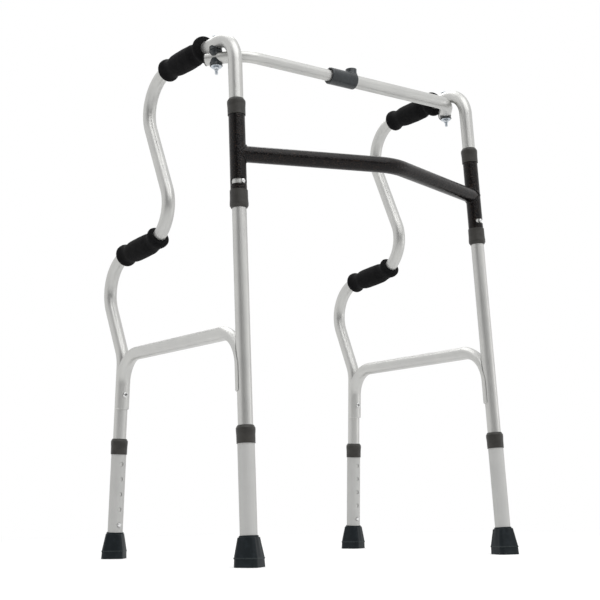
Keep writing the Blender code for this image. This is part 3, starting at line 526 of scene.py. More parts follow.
# Shaders
class Socket:
    """A node's output inside an expression; arithmetic on it adds Math nodes."""

    def __init__(self, tree: "ShaderTree", output: bpy.types.NodeSocket) -> None:
        """Wraps an output of the tree's."""
        self.tree = tree
        self.output = output

    def _math(self, operation: str, first: Any, second: Any) -> "Socket":
        """Adds a Math node on two values."""
        return self.tree.node("ShaderNodeMath", {"operation": operation}, {0: first, 1: second})

    def __add__(self, other: Any) -> "Socket":
        """self + other."""
        return self._math("ADD", self, other)

    def __radd__(self, other: Any) -> "Socket":
        """other + self."""
        return self._math("ADD", other, self)

    def __sub__(self, other: Any) -> "Socket":
        """self - other."""
        return self._math("SUBTRACT", self, other)

    def __rsub__(self, other: Any) -> "Socket":
        """other - self."""
        return self._math("SUBTRACT", other, self)

    def __mul__(self, other: Any) -> "Socket":
        """self * other."""
        return self._math("MULTIPLY", self, other)

    def __rmul__(self, other: Any) -> "Socket":
        """other * self."""
        return self._math("MULTIPLY", other, self)

    def or_more(self, other: Any) -> "Socket":
        """The larger of the two."""
        return self._math("MAXIMUM", self, other)

    def within(self, low: float, high: float, first: float = 0.0, last: float = 1.0) -> "Socket":
        """Smooth step from the first value below low to the last above high."""
        settings = {"interpolation_type": "SMOOTHSTEP"}
        return self.tree.node("ShaderNodeMapRange", settings, {0: self, 1: low, 2: high, 3: first, 4: last})


class ShaderTree:
    """Nodes of a new material or world."""

    def __init__(self, owner: bpy.types.Material | bpy.types.World) -> None:
        """Empties the owner's nodes.

        Args:
            owner: the material or world.
        """
        owner.use_nodes = True
        self.owner = owner
        self.nodes = owner.node_tree.nodes
        self.links = owner.node_tree.links
        self.nodes.clear()

    def node(self, kind: str, settings: dict[str, Any], inputs: dict[Any, Any], output: Any = 0) -> Socket:
        """Adds a node.

        Args:
            kind: the node's type.
            settings: its properties, set before its sockets.
            inputs: value or Socket for each input, by name or number.
            output: name or number of the output wanted.

        Returns:
            The output.
        """
        made = self.nodes.new(kind)
        for key, value in settings.items():
            setattr(made, key, value)
        for key, value in inputs.items():
            if isinstance(value, Socket):
                self.links.new(value.output, made.inputs[key])
            else:
                made.inputs[key].default_value = value
        return Socket(self, made.outputs[output])

    def grain(self) -> Socket:
        """The skin's unrolled place, in metres."""
        return self.node("ShaderNodeAttribute", {"attribute_name": "grain"}, {}, "Vector")

    def wear(self) -> Socket:
        """1 on rubbed edges and on the foot's ridge, where it paints a highlight, -1 deep in a recess, where
        it paints shade, and 0 elsewhere.
        """
        return self.node("ShaderNodeAttribute", {"attribute_name": "wear"}, {}, "Fac")

    def ray(self, kind: str) -> Socket:
        """1 for rays of a kind, such as Camera, and 0 for others."""
        return self.node("ShaderNodeLightPath", {}, {}, f"Is {kind} Ray")

    def stretched(self, across: float, lengthways: float) -> Socket:
        """The unrolled place scaled across and along the piece."""
        scale = (across, across, lengthways)
        return self.node("ShaderNodeMapping", {}, {"Vector": self.grain(), "Scale": scale})

    def noise(self, place: Socket, scale: float, detail: float = 3.0, rough: float = 0.5) -> Socket:
        """Noise value, mostly between 0.3 and 0.7."""
        inputs = {"Vector": place, "Scale": scale, "Detail": detail, "Roughness": rough}
        return self.node("ShaderNodeTexNoise", {}, inputs, "Fac")

    def cells(self, place: Socket, scale: float, feature: str = "F1") -> Socket:
        """Distance from the middles of Voronoi cells."""
        inputs = {"Vector": place, "Scale": scale}
        return self.node("ShaderNodeTexVoronoi", {"feature": feature}, inputs, "Distance")

    def mix(self, share: Any, first: Any, second: Any) -> Socket:
        """Colour between two, by share."""
        ends = [value if isinstance(value, Socket) else (*value, 1.0) for value in (first, second)]
        return self.node("ShaderNodeMix", {"data_type": "RGBA"}, {0: share, 6: ends[0], 7: ends[1]}, 2)

    def mix_values(self, share: Any, first: Any, second: Any) -> Socket:
        """Number between two, by share."""
        return self.node("ShaderNodeMix", {"data_type": "FLOAT"}, {0: share, 2: first, 3: second})

    def mix_shaders(self, share: Socket, first: Socket, second: Socket) -> Socket:
        """Shader between two, by share."""
        return self.node("ShaderNodeMixShader", {}, {0: share, 1: first, 2: second})

    def bump(self, height: Socket, distance: float, strength: float = 1.0,
             under: Socket | None = None) -> Socket:
        """Normal bent by a height, optionally on top of another bump.

        Args:
            height: the height's value.
            distance: metres that a value of one stands for.
            strength: share of the bend that is used.
            under: the other bump's normal.

        Returns:
            The normal.
        """
        inputs = {"Height": height, "Distance": distance, "Strength": strength}
        if under is not None:
            inputs["Normal"] = under
        return self.node("ShaderNodeBump", {}, inputs, "Normal")

    def shown(self, surface: Socket) -> bpy.types.Material | bpy.types.World:
        """Leads a shader to the owner's output.

        Args:
            surface: the shader's output.

        Returns:
            The owner.
        """
        kind = "World" if isinstance(self.owner, bpy.types.World) else "Material"
        self.links.new(surface.output, self.nodes.new(f"ShaderNodeOutput{kind}").inputs["Surface"])
        return self.owner

    def dress(self, **values: Any) -> bpy.types.Material:
        """Shows a Principled shader with these inputs; a name's underscores stand for spaces."""
        inputs = {key.replace("_", " "): value for key, value in values.items()}
        return self.shown(self.node("ShaderNodeBsdfPrincipled", {}, inputs))


# Finishes; scales count features per metre, depths are in metres
@dataclass(frozen=True)
class Finish:
    """A finish: how it looks, and the record's slot it belongs to."""

    label: str
    slot: Slot

    def build(self, tree: ShaderTree) -> bpy.types.Material:
        """Fills the tree; each kind of finish has its own."""
        raise NotImplementedError

    def material(self) -> bpy.types.Material:
        """The finish's material, made once."""
        made = bpy.data.materials.get(self.label)
        return made or self.build(ShaderTree(bpy.data.materials.new(self.label)))


@dataclass(frozen=True)
class Anodised(Finish):
    """Satin anodised tube: fine drawing lines along it, cloudy tone and a few light scuffs."""

    pale: Colour = (0.58, 0.58, 0.56)
    deep: Colour = (0.50, 0.50, 0.49)
    roughness: float = 0.36
    metallic: float = 0.82
    scuffed: Colour = (0.72, 0.72, 0.71)
    line_scales: tuple[float, float] = (1600.0, 14.0)
    line_depth: float = 0.00003
    scuff_scales: tuple[float, float] = (420.0, 30.0)
    scuff_range: tuple[float, float] = (0.69, 0.73)
    scuff_share: float = 0.12
    cloud_scale: float = 26.0
    fleck_scale: float = 1500.0
    fleck_depth: float = 0.00002

    def build(self, tree: ShaderTree) -> bpy.types.Material:
        """Lines are noise squeezed round the tube and drawn out along it.

        Args:
            tree: the material's empty tree.

        Returns:
            The material.
        """
        lines = tree.noise(tree.stretched(*self.line_scales), 1.0, 4.0, 0.6)
        cloud = tree.noise(tree.grain(), self.cloud_scale)
        fleck = tree.noise(tree.grain(), self.fleck_scale, 2.0)
        scuff = tree.noise(tree.stretched(*self.scuff_scales), 1.0, 1.0).within(*self.scuff_range)
        tone = tree.mix(cloud.within(0.30, 0.70, 0.35, 0.85), self.deep, self.pale)
        tone = tree.mix(lines.within(0.30, 0.70, 0.0, 0.25), tone, self.deep)
        tone = tree.mix(scuff * self.scuff_share, tone, self.scuffed)
        rough = self.roughness - 0.03 + lines * 0.05 + fleck * 0.05 - scuff * 0.08
        normal = tree.bump(lines, self.line_depth, 0.5)
        normal = tree.bump(fleck, self.fleck_depth, 0.5, normal)
        return tree.dress(Base_Color=tone, Roughness=rough, Metallic=self.metallic, Normal=normal)


@dataclass(frozen=True)
class HammeredCoat(Finish):
    """Black hammered powder coat: small pooled dimples and bronze flecks under a gloss; the flecks' bright
    bronze is partly the coat's own colour and partly painted glints.
    """

    black: Colour = (0.0050, 0.0046, 0.0050)
    bronze: Colour = (0.20, 0.125, 0.085)
    pooled: Colour = (0.03, 0.026, 0.026)
    metallic: float = 0.12
    shine: float = 0.20
    dimple_scale: float = 520.0
    dimple_depth: float = 0.00042
    sway_scale: float = 300.0
    fleck_scale: float = 1600.0
    fleck_range: tuple[float, float] = (0.62, 0.70)
    patch_scale: float = 90.0

    def build(self, tree: ShaderTree) -> bpy.types.Material:
        """Dimples are rounded cells about 2 mm wide; flecks are the peaks of fine noise, in patches, and
        their bright bronze stands partly for painted glints.

        Args:
            tree: the material's empty tree.

        Returns:
            The material.
        """
        place = tree.grain()
        sway = tree.noise(place, self.sway_scale, 2.0)
        dimple = tree.cells(place, self.dimple_scale, "SMOOTH_F1")
        fleck = tree.noise(place, self.fleck_scale, 2.0).within(*self.fleck_range)
        patch = tree.noise(place, self.patch_scale, 2.0).within(0.40, 0.62, 0.30, 0.90)
        # Bronze flecks: partly the coat's own fleck colour, partly painted glints.
        tone = tree.mix(fleck * patch, self.black, self.bronze)
        tone = tree.mix(sway.within(0.58, 0.78, 0.0, 0.25), tone, self.pooled)
        rough = 0.12 + sway * 0.14 + fleck * 0.10
        normal = tree.bump((dimple + sway) * 0.8, self.dimple_depth)
        return tree.dress(Base_Color=tone, Roughness=rough, Metallic=self.metallic,
                          Specular_IOR_Level=self.shine, Normal=normal)


@dataclass(frozen=True)
class Moulded(Finish):
    """Moulded plastic: spark-eroded grain, faint flow marks and paler rubbed edges."""

    base: Colour = (0.044, 0.042, 0.038)
    rubbed: Colour = (0.11, 0.105, 0.10)
    roughness: float = 0.42
    shine: float = 0.30
    grain_scale: float = 1700.0
    grain_depth: float = 0.00005
    flow_scales: tuple[float, float] = (60.0, 110.0)
    flow_tone: float = 0.72
    rub_scale: float = 520.0

    def build(self, tree: ShaderTree) -> bpy.types.Material:
        """Grain is fine noise; rubbing follows the skin's own wear, broken up by noise.

        Args:
            tree: the material's empty tree.

        Returns:
            The material.
        """
        place = tree.grain()
        fine = tree.noise(place, self.grain_scale)
        flow = tree.noise(tree.stretched(*self.flow_scales), 1.0)
        rub = tree.wear() * tree.noise(place, self.rub_scale).within(0.42, 0.66)
        darker = tuple(value * self.flow_tone for value in self.base)
        tone = tree.mix(flow.within(0.35, 0.65), darker, self.base)
        tone = tree.mix(fine.within(0.55, 0.75, 0.0, 0.22), tone, self.rubbed)
        tone = tree.mix(rub * 0.75, tone, self.rubbed)
        rough = self.roughness - 0.06 + fine * 0.14 - rub * 0.10
        normal = tree.bump(fine, self.grain_depth, 0.8)
        return tree.dress(Base_Color=tone, Roughness=rough, Specular_IOR_Level=self.shine, Normal=normal)


@dataclass(frozen=True)
class FoamSkin(Finish):
    """Black closed-cell foam: matt, with tiny open cells whose middles are painted darker as shade, and soft
    greyer patches.
    """

    base: Colour = (0.0050, 0.0050, 0.0054)
    dusty: Colour = (0.0125, 0.0125, 0.0130)
    hollow: Colour = (0.003, 0.003, 0.003)
    shine: float = 0.12
    pit_scale: float = 2300.0
    pit_depth: float = 0.00008
    slow_scale: float = 160.0
    slow_depth: float = 0.00045

    def build(self, tree: ShaderTree) -> bpy.types.Material:
        """Cells are 0.4 mm pits from a Voronoi pattern, over a slower unevenness; the pits' middles take a
        darker colour, which is painted shade.

        Args:
            tree: the material's empty tree.

        Returns:
            The material.
        """
        place = tree.grain()
        pits = tree.cells(place, self.pit_scale)
        slow = tree.noise(place, self.slow_scale, 4.0)
        tone = tree.mix(slow.within(0.42, 0.70, 0.0, 0.6), self.base, self.dusty)
        # Painted shade: the middle of each pit is darkened.
        tone = tree.mix(pits.within(0.0, 0.35), self.hollow, tone)
        normal = tree.bump(pits, self.pit_depth, 0.7)
        normal = tree.bump(slow, self.slow_depth, 0.6, normal)
        return tree.dress(Base_Color=tone, Roughness=0.80 + slow * 0.14, Specular_IOR_Level=self.shine,
                          Normal=normal)


@dataclass(frozen=True)
class Rubber(Finish):
    """Blue-black moulded rubber with a dusty bloom and scuffed edges, and a painted highlight in the same
    pale colour along the foot's ridge.
    """

    base: Colour = (0.0085, 0.0122, 0.0148)
    bloom: Colour = (0.018, 0.024, 0.029)
    dust: Colour = (0.058, 0.070, 0.070)
    shine: float = 0.16
    bloom_scale: float = 120.0
    grain_scale: float = 1300.0
    grain_depth: float = 0.00006

    def build(self, tree: ShaderTree) -> bpy.types.Material:
        """Bloom is slow noise; scuffs follow the wear and fine noise, and where the foot marks its ridge the
        pale scuff colour is a painted highlight.

        Args:
            tree: the material's empty tree.

        Returns:
            The material.
        """
        place = tree.grain()
        slow = tree.noise(place, self.bloom_scale, 4.0)
        fine = tree.noise(place, self.grain_scale)
        # Pale dust on worn edges and near the floor, and a painted highlight along the foot's ridge.
        scuff = tree.wear() * fine.within(0.40, 0.62)
        tone = tree.mix(slow.within(0.45, 0.72, 0.0, 0.5), self.base, self.bloom)
        tone = tree.mix(scuff * 0.8, tone, self.dust)
        rough = 0.40 + slow * 0.18 + scuff * 0.15
        normal = tree.bump(fine, self.grain_depth, 0.7)
        return tree.dress(Base_Color=tone, Roughness=rough, Specular_IOR_Level=self.shine, Normal=normal)


@dataclass(frozen=True)
class Plated(Finish):
    """Plated steel: bright, with a blue-white mottle, rubbed edges and painted shade in recesses."""

    base: Colour = (0.60, 0.64, 0.68)
    dull: Colour = (0.40, 0.44, 0.48)
    roughness: float = 0.26
    bright: Colour = (0.80, 0.81, 0.82)
    grime: Colour = (0.012, 0.012, 0.013)
    metallic: float = 0.96
    mottle_scale: float = 700.0
    mark_scales: tuple[float, float] = (300.0, 5200.0)
    mark_depth: float = 0.00002

    def build(self, tree: ShaderTree) -> bpy.types.Material:
        """Mottle is slow noise, with fine turning marks in the bump.

        Args:
            tree: the material's empty tree.

        Returns:
            The material.
        """
        mottle = tree.noise(tree.grain(), self.mottle_scale)
        marks = tree.noise(tree.stretched(*self.mark_scales), 1.0, 2.0)
        tone = tree.mix(mottle.within(0.38, 0.62), self.dull, self.base)
        tone = tree.mix(tree.wear().within(0.0, 1.0, 0.0, 0.5), tone, self.bright)
        # Painted shade: near-black wherever the skin is marked as a deep recess.
        tone = tree.mix(tree.wear().within(-0.1, -0.9), tone, self.grime)
        rough = self.roughness - 0.04 + mottle * 0.16
        normal = tree.bump(marks, self.mark_depth, 0.6)
        return tree.dress(Base_Color=tone, Roughness=rough, Metallic=self.metallic, Normal=normal)


FRAME_METAL = Anodised("satin_anodised_frame", Slot.ANODISED)
LEG_METAL = Anodised("matt_anodised_leg", Slot.ANODISED, (0.56, 0.56, 0.545), (0.51, 0.51, 0.50), 0.55, 0.35)
BLACK_COAT = HammeredCoat("black_hammered_coat", Slot.BLACK_COAT)
GREY_PLASTIC = Moulded("grey_collar_plastic", Slot.GREY_PLASTIC)
SLATE_PLASTIC = Moulded(
    "dark_slate_moulding", Slot.SLATE_PLASTIC, (0.024, 0.030, 0.034), (0.085, 0.095, 0.10), 0.26, 0.5)
CAP_PLASTIC = Moulded("black_cap_plastic", Slot.BLACK_CAP, (0.008, 0.008, 0.008), (0.035, 0.035, 0.035))
PALE_NYLON = Moulded("pale_nylon_washer", Slot.NYLON, (0.34, 0.34, 0.33), (0.45, 0.45, 0.44), 0.45)
FOAM = FoamSkin("black_grip_foam", Slot.FOAM)
RUBBER = Rubber("blue_black_rubber", Slot.RUBBER)
ZINC = Plated("zinc_plating", Slot.ZINC)
STEEL = Plated("bright_button_steel", Slot.STEEL, (0.74, 0.74, 0.73), (0.58, 0.58, 0.57), 0.18)


# Pieces
@dataclass(frozen=True)
class Piece:
    """One visible piece: its name, finish, the body it rides on and the nodes it stands for."""

    name: str
    finish: Finish
    body: str
    nodes: tuple[str, ...]
    wall: float = 0.0

    def make(self, *skins: Skin) -> bpy.types.Object:
        """Builds the piece's mesh from its skins, dresses it and hands it to the frame.

        Args:
            skins: grids that together make the piece.

        Returns:
            The finished object.
        """
        faces, first = [], 0
        for skin in skins:
            faces += skin.faces(first)
            first += skin.points.shape[0] * skin.points.shape[1]
        mesh = bpy.data.meshes.new(self.name)
        mesh.from_pydata(np.concatenate([skin.points.reshape(-1, 3) for skin in skins]).tolist(), [], faces)
        self.mark(mesh, skins)
        welded(mesh)
        mesh.shade_smooth()
        mesh.set_sharp_from_angle(angle=SMOOTH_BELOW)
        mesh.materials.append(self.finish.material())
        item = bpy.data.objects.new(self.name, mesh)
        bpy.context.scene.collection.objects.link(item)
        if self.wall > 0.0:
            wall = item.modifiers.new("wall", "SOLIDIFY")
            wall.thickness, wall.offset, wall.use_even_offset = self.wall, -1.0, True
        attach(item, self.body)
        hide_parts(*self.nodes)
        LOG.info("%s: %d faces, %s, on %s", self.name, len(mesh.polygons), self.finish.label, self.body)
        return item

    def mark(self, mesh: bpy.types.Mesh, skins: tuple[Skin, ...]) -> None:
        """Writes the skins' grain and wear on the mesh; the wear also carries a painted highlight on the
        foot's ridge and painted shade in the screws' recess.

        The grain starts at a length of the piece's own, made of its name's letters, so that two pieces
        of one finish don't repeat each other.

        Args:
            mesh: the piece's mesh, with the skins' points in order.
            skins: the grids.
        """
        own = float(sum(map(ord, self.name)) % GRAIN_STARTS) * GRAIN_STEP
        grain = np.concatenate([skin.run.reshape(-1, 3) for skin in skins]) + (0.0, 0.0, own)
        wear = np.concatenate([
            (np.zeros(skin.points.shape[:2]) if skin.wear is None else skin.wear).ravel() for skin in skins])
        mesh.attributes.new("grain", "FLOAT_VECTOR", "POINT").data.foreach_set("vector", grain.ravel())
        mesh.attributes.new("wear", "FLOAT", "POINT").data.foreach_set("value", wear)


def welded(mesh: bpy.types.Mesh) -> None:
    """Merges a mesh's coincident points, which closes its poles, and drops stray ones.

    Args:
        mesh: the mesh, changed in place.
    """
    body = bmesh.new()
    body.from_mesh(mesh)
    bmesh.ops.remove_doubles(body, verts=body.verts, dist=WELD_DISTANCE)
    bmesh.ops.delete(body, geom=[vert for vert in body.verts if not vert.link_faces], context="VERTS")
    body.to_mesh(mesh)
    body.free()


def stand_in(node: str, tail: str, finish: Finish, body: str, *skins: Skin,
             wall: float = 0.0) -> bpy.types.Object:
    """Makes the piece that stands for a node and has its name and a tail.

    Args:
        node: the node it replaces.
        tail: last words of the piece's name.
        finish: its finish.
        body: the body it rides on.
        *skins: grids that make it.
        wall: thickness given to an open skin.

    Returns:
        The finished object.
    """
    return Piece(f"{node}_{tail}", finish, body, (node,), wall).make(*skins)


@dataclass(frozen=True)
class SnapButton:
    """Domed snap button of a tube, with the flange and leaf spring inside."""

    radius: float = 0.0032
    dome: float = 0.0016
    soft: float = 0.0002
    flange_r: float = 0.0043
    base: float = 0.0074
    leaf_t: float = 0.0008
    leaf_half_w: float = 0.0040
    leaf_half_l: float = 0.0180

    def skins(self, matrix: Array, tip: float) -> tuple[Skin, Skin]:
        """Pin turned about the matrix's z up to the tip, and the leaf as a rounded bar.

        Args:
            matrix: frame with z out of the tube and y along it.
            tip: height of the dome's top above the tube's axis.

        Returns:
            The pin's skin and the leaf's.
        """
        r, soft, top = self.radius, self.soft, self.base + self.leaf_t
        pin = profile([
            (0.0, self.base, 0.0), (self.flange_r, self.base, soft), (self.flange_r, top, soft),
            (r, top, soft), (r, tip, self.dome), (0.0, tip, 0.0)])
        height = self.base - self.leaf_t / 2
        line = placed(matrix, np.array([(0.0, -self.leaf_half_l, height), (0.0, self.leaf_half_l, height)]))
        leaf = swept(line, matrix[:3, 0], self.leaf_half_w, 24, np.full(2, self.leaf_t / 2))
        leaf.capped = True
        return turned(pin, matrix, 32), leaf


@dataclass(frozen=True)
class Collar:
    """Grey collar over a tube's end: a plain skirt, a wider head and a bevelled shoulder."""

    radius: float = 0.0139
    head_r: float = 0.0144
    draft: float = 0.0001
    skirt_share: float = 0.47
    head_share: float = 0.74
    roof: float = 0.0030
    bevel: float = 0.0040
    rim: float = 0.0005

    def skin(self, matrix: Array, tube_r: float, height: float, flipped: bool = False) -> Skin:
        """Turned skin of a collar.

        Args:
            matrix: frame of its lower end, z up the leg.
            tube_r: radius of the tube whose end it covers.
            height: its length.
            flipped: True with the head at the bottom.

        Returns:
            The skin.
        """
        bore, pocket, roof = STANCE.tube_r + STANCE.gap, tube_r + STANCE.gap, height - self.roof
        outline = ring_profile([
            (pocket, 0.0, 0.0002), (self.radius - self.draft, 0.0, 0.0003),
            (self.radius, height * self.skirt_share, 0.0006), (self.head_r, height * self.head_share, 0.0010),
            (self.head_r - self.draft, height - self.bevel, 0.0003), (bore + self.rim, height, 0.0002),
            (bore, height, 0.0001), (bore, roof, 0.0), (pocket, roof, 0.0)])
        if flipped:
            outline = outline[::-1] * (1.0, -1.0) + (0.0, height)
        return turned(outline, matrix, 64, closed=True)


COLLAR = Collar()
FOOT_CORNERS: dict[tuple[Side, End], float] = {
    (Side.LEFT, End.FRONT): 12.6, (Side.LEFT, End.REAR): -2.4,
    (Side.RIGHT, End.FRONT): 55.8, (Side.RIGHT, End.REAR): 18.4}


@dataclass(frozen=True)
class Foot:
    """Rubber ferrule: four crowned faces with narrow corners, a raised ridge and a grooved, level tread.

    The wall's rows are (distance off the axis, height, corner radius), and the shoulder's have the drop
    below the top for the height.
    """

    socket_r: float = 0.0130
    socket_floor: float = 0.0080
    height: float = 0.0440
    rim_r: float = 0.0144
    wall: tuple[tuple[float, float, float], ...] = (
        (0.0228, 0.0, 0.0007), (0.0222, 0.0114, 0.0002), (0.0231, 0.0122, 0.0003), (0.0231, 0.0132, 0.0003),
        (0.0223, 0.0140, 0.0002))
    shoulder: tuple[tuple[float, float, float], ...] = (
        (0.0166, 0.0030, 0.0004), (0.0158, 0.0022, 0.0003), (0.0144, 0.0022, 0.0002), (0.0140, 0.0, 0.0003))
    grooves: tuple[float, ...] = (0.0060, 0.0105, 0.0150)
    groove: tuple[tuple[float, float], ...] = (
        (-0.0012, 0.0), (-0.0009, 0.0009), (0.0009, 0.0009), (0.0012, 0.0))
    flat_share: float = 0.80
    crown: float = 0.0004
    # Height of the ridge and the band round it that is marked fully worn, which paints a highlight along the
    # ridge.
    ridge_z: float = 0.0128
    ridge_range: tuple[float, float] = (0.0005, 0.0010)
    level_range: tuple[float, float] = (0.0140, 0.0178)
    scuff_height: float = 0.0060
    scuff: float = 0.25
    edge_wear: float = 0.8

    def skin(self, matrix: Array, corner: float) -> Skin:
        """Turned outline with its sides cut to four crowned faces and its low rings laid level.

        A section's radius is the smaller of the corner circle's and flat / cos(angle from the face's
        middle), the flat being a fixed share of the circle. Low rings lie level with the floor instead
        of square to the leg, and the blend back is a smooth step above the ridge.

        Args:
            matrix: the leg's frame.
            corner: heading of a corner in degrees, from the front towards the left.

        Returns:
            The skin.
        """
        tread = [(middle + off, deep, 0.0) for middle in self.grooves for off, deep in self.groove]
        shoulder = [(radius, self.height - drop, soft) for radius, drop, soft in self.shoulder]
        outline = profile([
            (1e-7, 0.0, 0.0), *tread, *self.wall, *shoulder, (self.socket_r, self.height, 0.0003),
            (self.socket_r, self.socket_floor, 0.0), (1e-7, self.socket_floor, 0.0)])
        edge = math.acos(self.flat_share)
        corners = np.linspace(edge, math.pi / 2 - edge, 5)[1:-1]
        quarter = np.concatenate([np.linspace(-edge, edge, 15), corners])
        theta = (quarter + (math.pi / 2) * np.arange(4)[:, None]).ravel()

        def reach(radius: Array, z: Array, angle: Array) -> Array:
            """Radii trimmed by the four faces, wherever the outline is outside the socket's rim.

            Args:
                radius: the outline's distances off the axis.
                z: heights; not used.
                angle: angles about the axis.

            Returns:
                The changed distances.
            """
            near = (angle + math.pi / 4) % (math.pi / 2) - math.pi / 4
            crown = self.crown * np.maximum(1 - (near / edge) ** 2, 0.0)
            flat = np.minimum(radius, radius * self.flat_share / np.cos(near) + crown)
            return np.where(radius > self.rim_r + 0.0002, np.maximum(flat, self.rim_r), radius)

        skin = turned(outline, np.eye(4), theta, reach=reach)
        heading = math.radians(corner) + math.pi / 4
        facing = matrix @ turn("Z", math.atan2(-math.cos(heading), -math.sin(heading)))
        local, normal = skin.points, facing[2, :3]
        share = 1 - smoothstep(*self.level_range, local[..., 2])
        share[-3:] = 0.0
        # Painted highlight: the band round the ridge is marked fully worn, so the rubber paints it in its
        # pale dust colour.
        ridge_highlight = 1 - smoothstep(*self.ridge_range, np.abs(local[..., 2] - self.ridge_z))
        local[..., 2] -= (normal[0] * local[..., 0] + normal[1] * local[..., 1]) / normal[2] * share
        low = self.scuff * (1 - smoothstep(0.0, self.scuff_height, local[..., 2]))
        skin.wear = np.clip(np.maximum(skin.wear * self.edge_wear, ridge_highlight) + low, 0.0, 1.0)
        skin.points = placed(facing, local)
        return skin


@dataclass(frozen=True)
class LegEnd:
    """Sliding leg end: holed extension tube, grey collar and rubber foot, with the leg's button."""

    outer_r: float = 0.0127
    wall: float = 0.0012
    rim: float = 0.0004
    collar_bottom: float = 0.1743
    collar_h: float = 0.0265
    hole_first: float = 0.0565
    hole_pitch: float = 0.0254
    hole_count: int = 5
    hole_r: float = 0.0036
    button_proud: float = 0.0022
    foot: Foot = Foot()

    def build(self, side: Side, end: End) -> None:
        """Builds the four pieces of one leg end.

        Args:
            side: the side frame it belongs to.
            end: front or rear leg.
        """
        stem = f"{side.word}_{end.word}"
        body, button = f"{stem}_leg_end", f"{stem}_button"
        matrix = STANCE.leg(side, end)
        stand_in(f"{stem}_extension", "tube", LEG_METAL, body, self.tube(matrix, end), wall=self.wall)
        collar = COLLAR.skin(matrix @ shift(0.0, 0.0, self.collar_bottom), self.outer_r, self.collar_h)
        stand_in(f"{stem}_collar", "moulding", GREY_PLASTIC, body, collar)
        foot = self.foot.skin(matrix, FOOT_CORNERS[side, end])
        stand_in(f"{stem}_foot", "ferrule", RUBBER, body, foot)
        out = STANCE.out_of_leg(side, end, self.hole_first, end.value)
        pin = SnapButton().skins(out, self.outer_r + self.button_proud)
        stand_in(button, "pin", STEEL, button, *pin)

    def tube(self, matrix: Array, end: End) -> Skin:
        """Outer wall of the extension with its column of holes.

        The grid is even round the tube but for the holes' column, which faces the frame's middle.

        Args:
            matrix: the leg's frame.
            end: front or rear leg.

        Returns:
            The skin, open at its ends and holes.
        """
        mark = Mark(self.hole_r)
        half_angle = mark.half / self.outer_r
        low = self.foot.socket_floor + STANCE.gap
        high = self.collar_bottom + self.collar_h - COLLAR.roof - STANCE.gap
        centres = self.hole_first + self.hole_pitch * np.arange(self.hole_count)
        rows = np.unique(np.round(np.concatenate([
            [low + self.rim], np.linspace(low, centres[0] - mark.half, 5),
            (centres[:, None] + mark.lines() * mark.half).ravel(),
            np.linspace(centres[-1] + mark.half, high, 4), [high - self.rim]]), 7))
        far = np.linspace(half_angle, 2 * math.pi - half_angle, 36)[1:-1]
        z, angle = np.meshgrid(rows, np.concatenate([mark.lines() * half_angle, far]), indexing="ij")
        nearest = centres[np.argmin(np.abs(z[..., None] - centres), axis=-1)]
        a, b, ring = mark.bent(angle / half_angle, (z - nearest) / mark.half)
        x = -end.value * np.sin(a * half_angle) * self.outer_r
        y = end.value * np.cos(a * half_angle) * self.outer_r
        local = np.stack([x, y, nearest + b * mark.half], axis=-1)
        cell = (ring[:-1, :] + ring[1:, :]) / 2
        cell = (cell + np.roll(cell, -1, axis=1)) / 2
        return Skin(placed(matrix, local), local, keep=cell > mark.RIM)


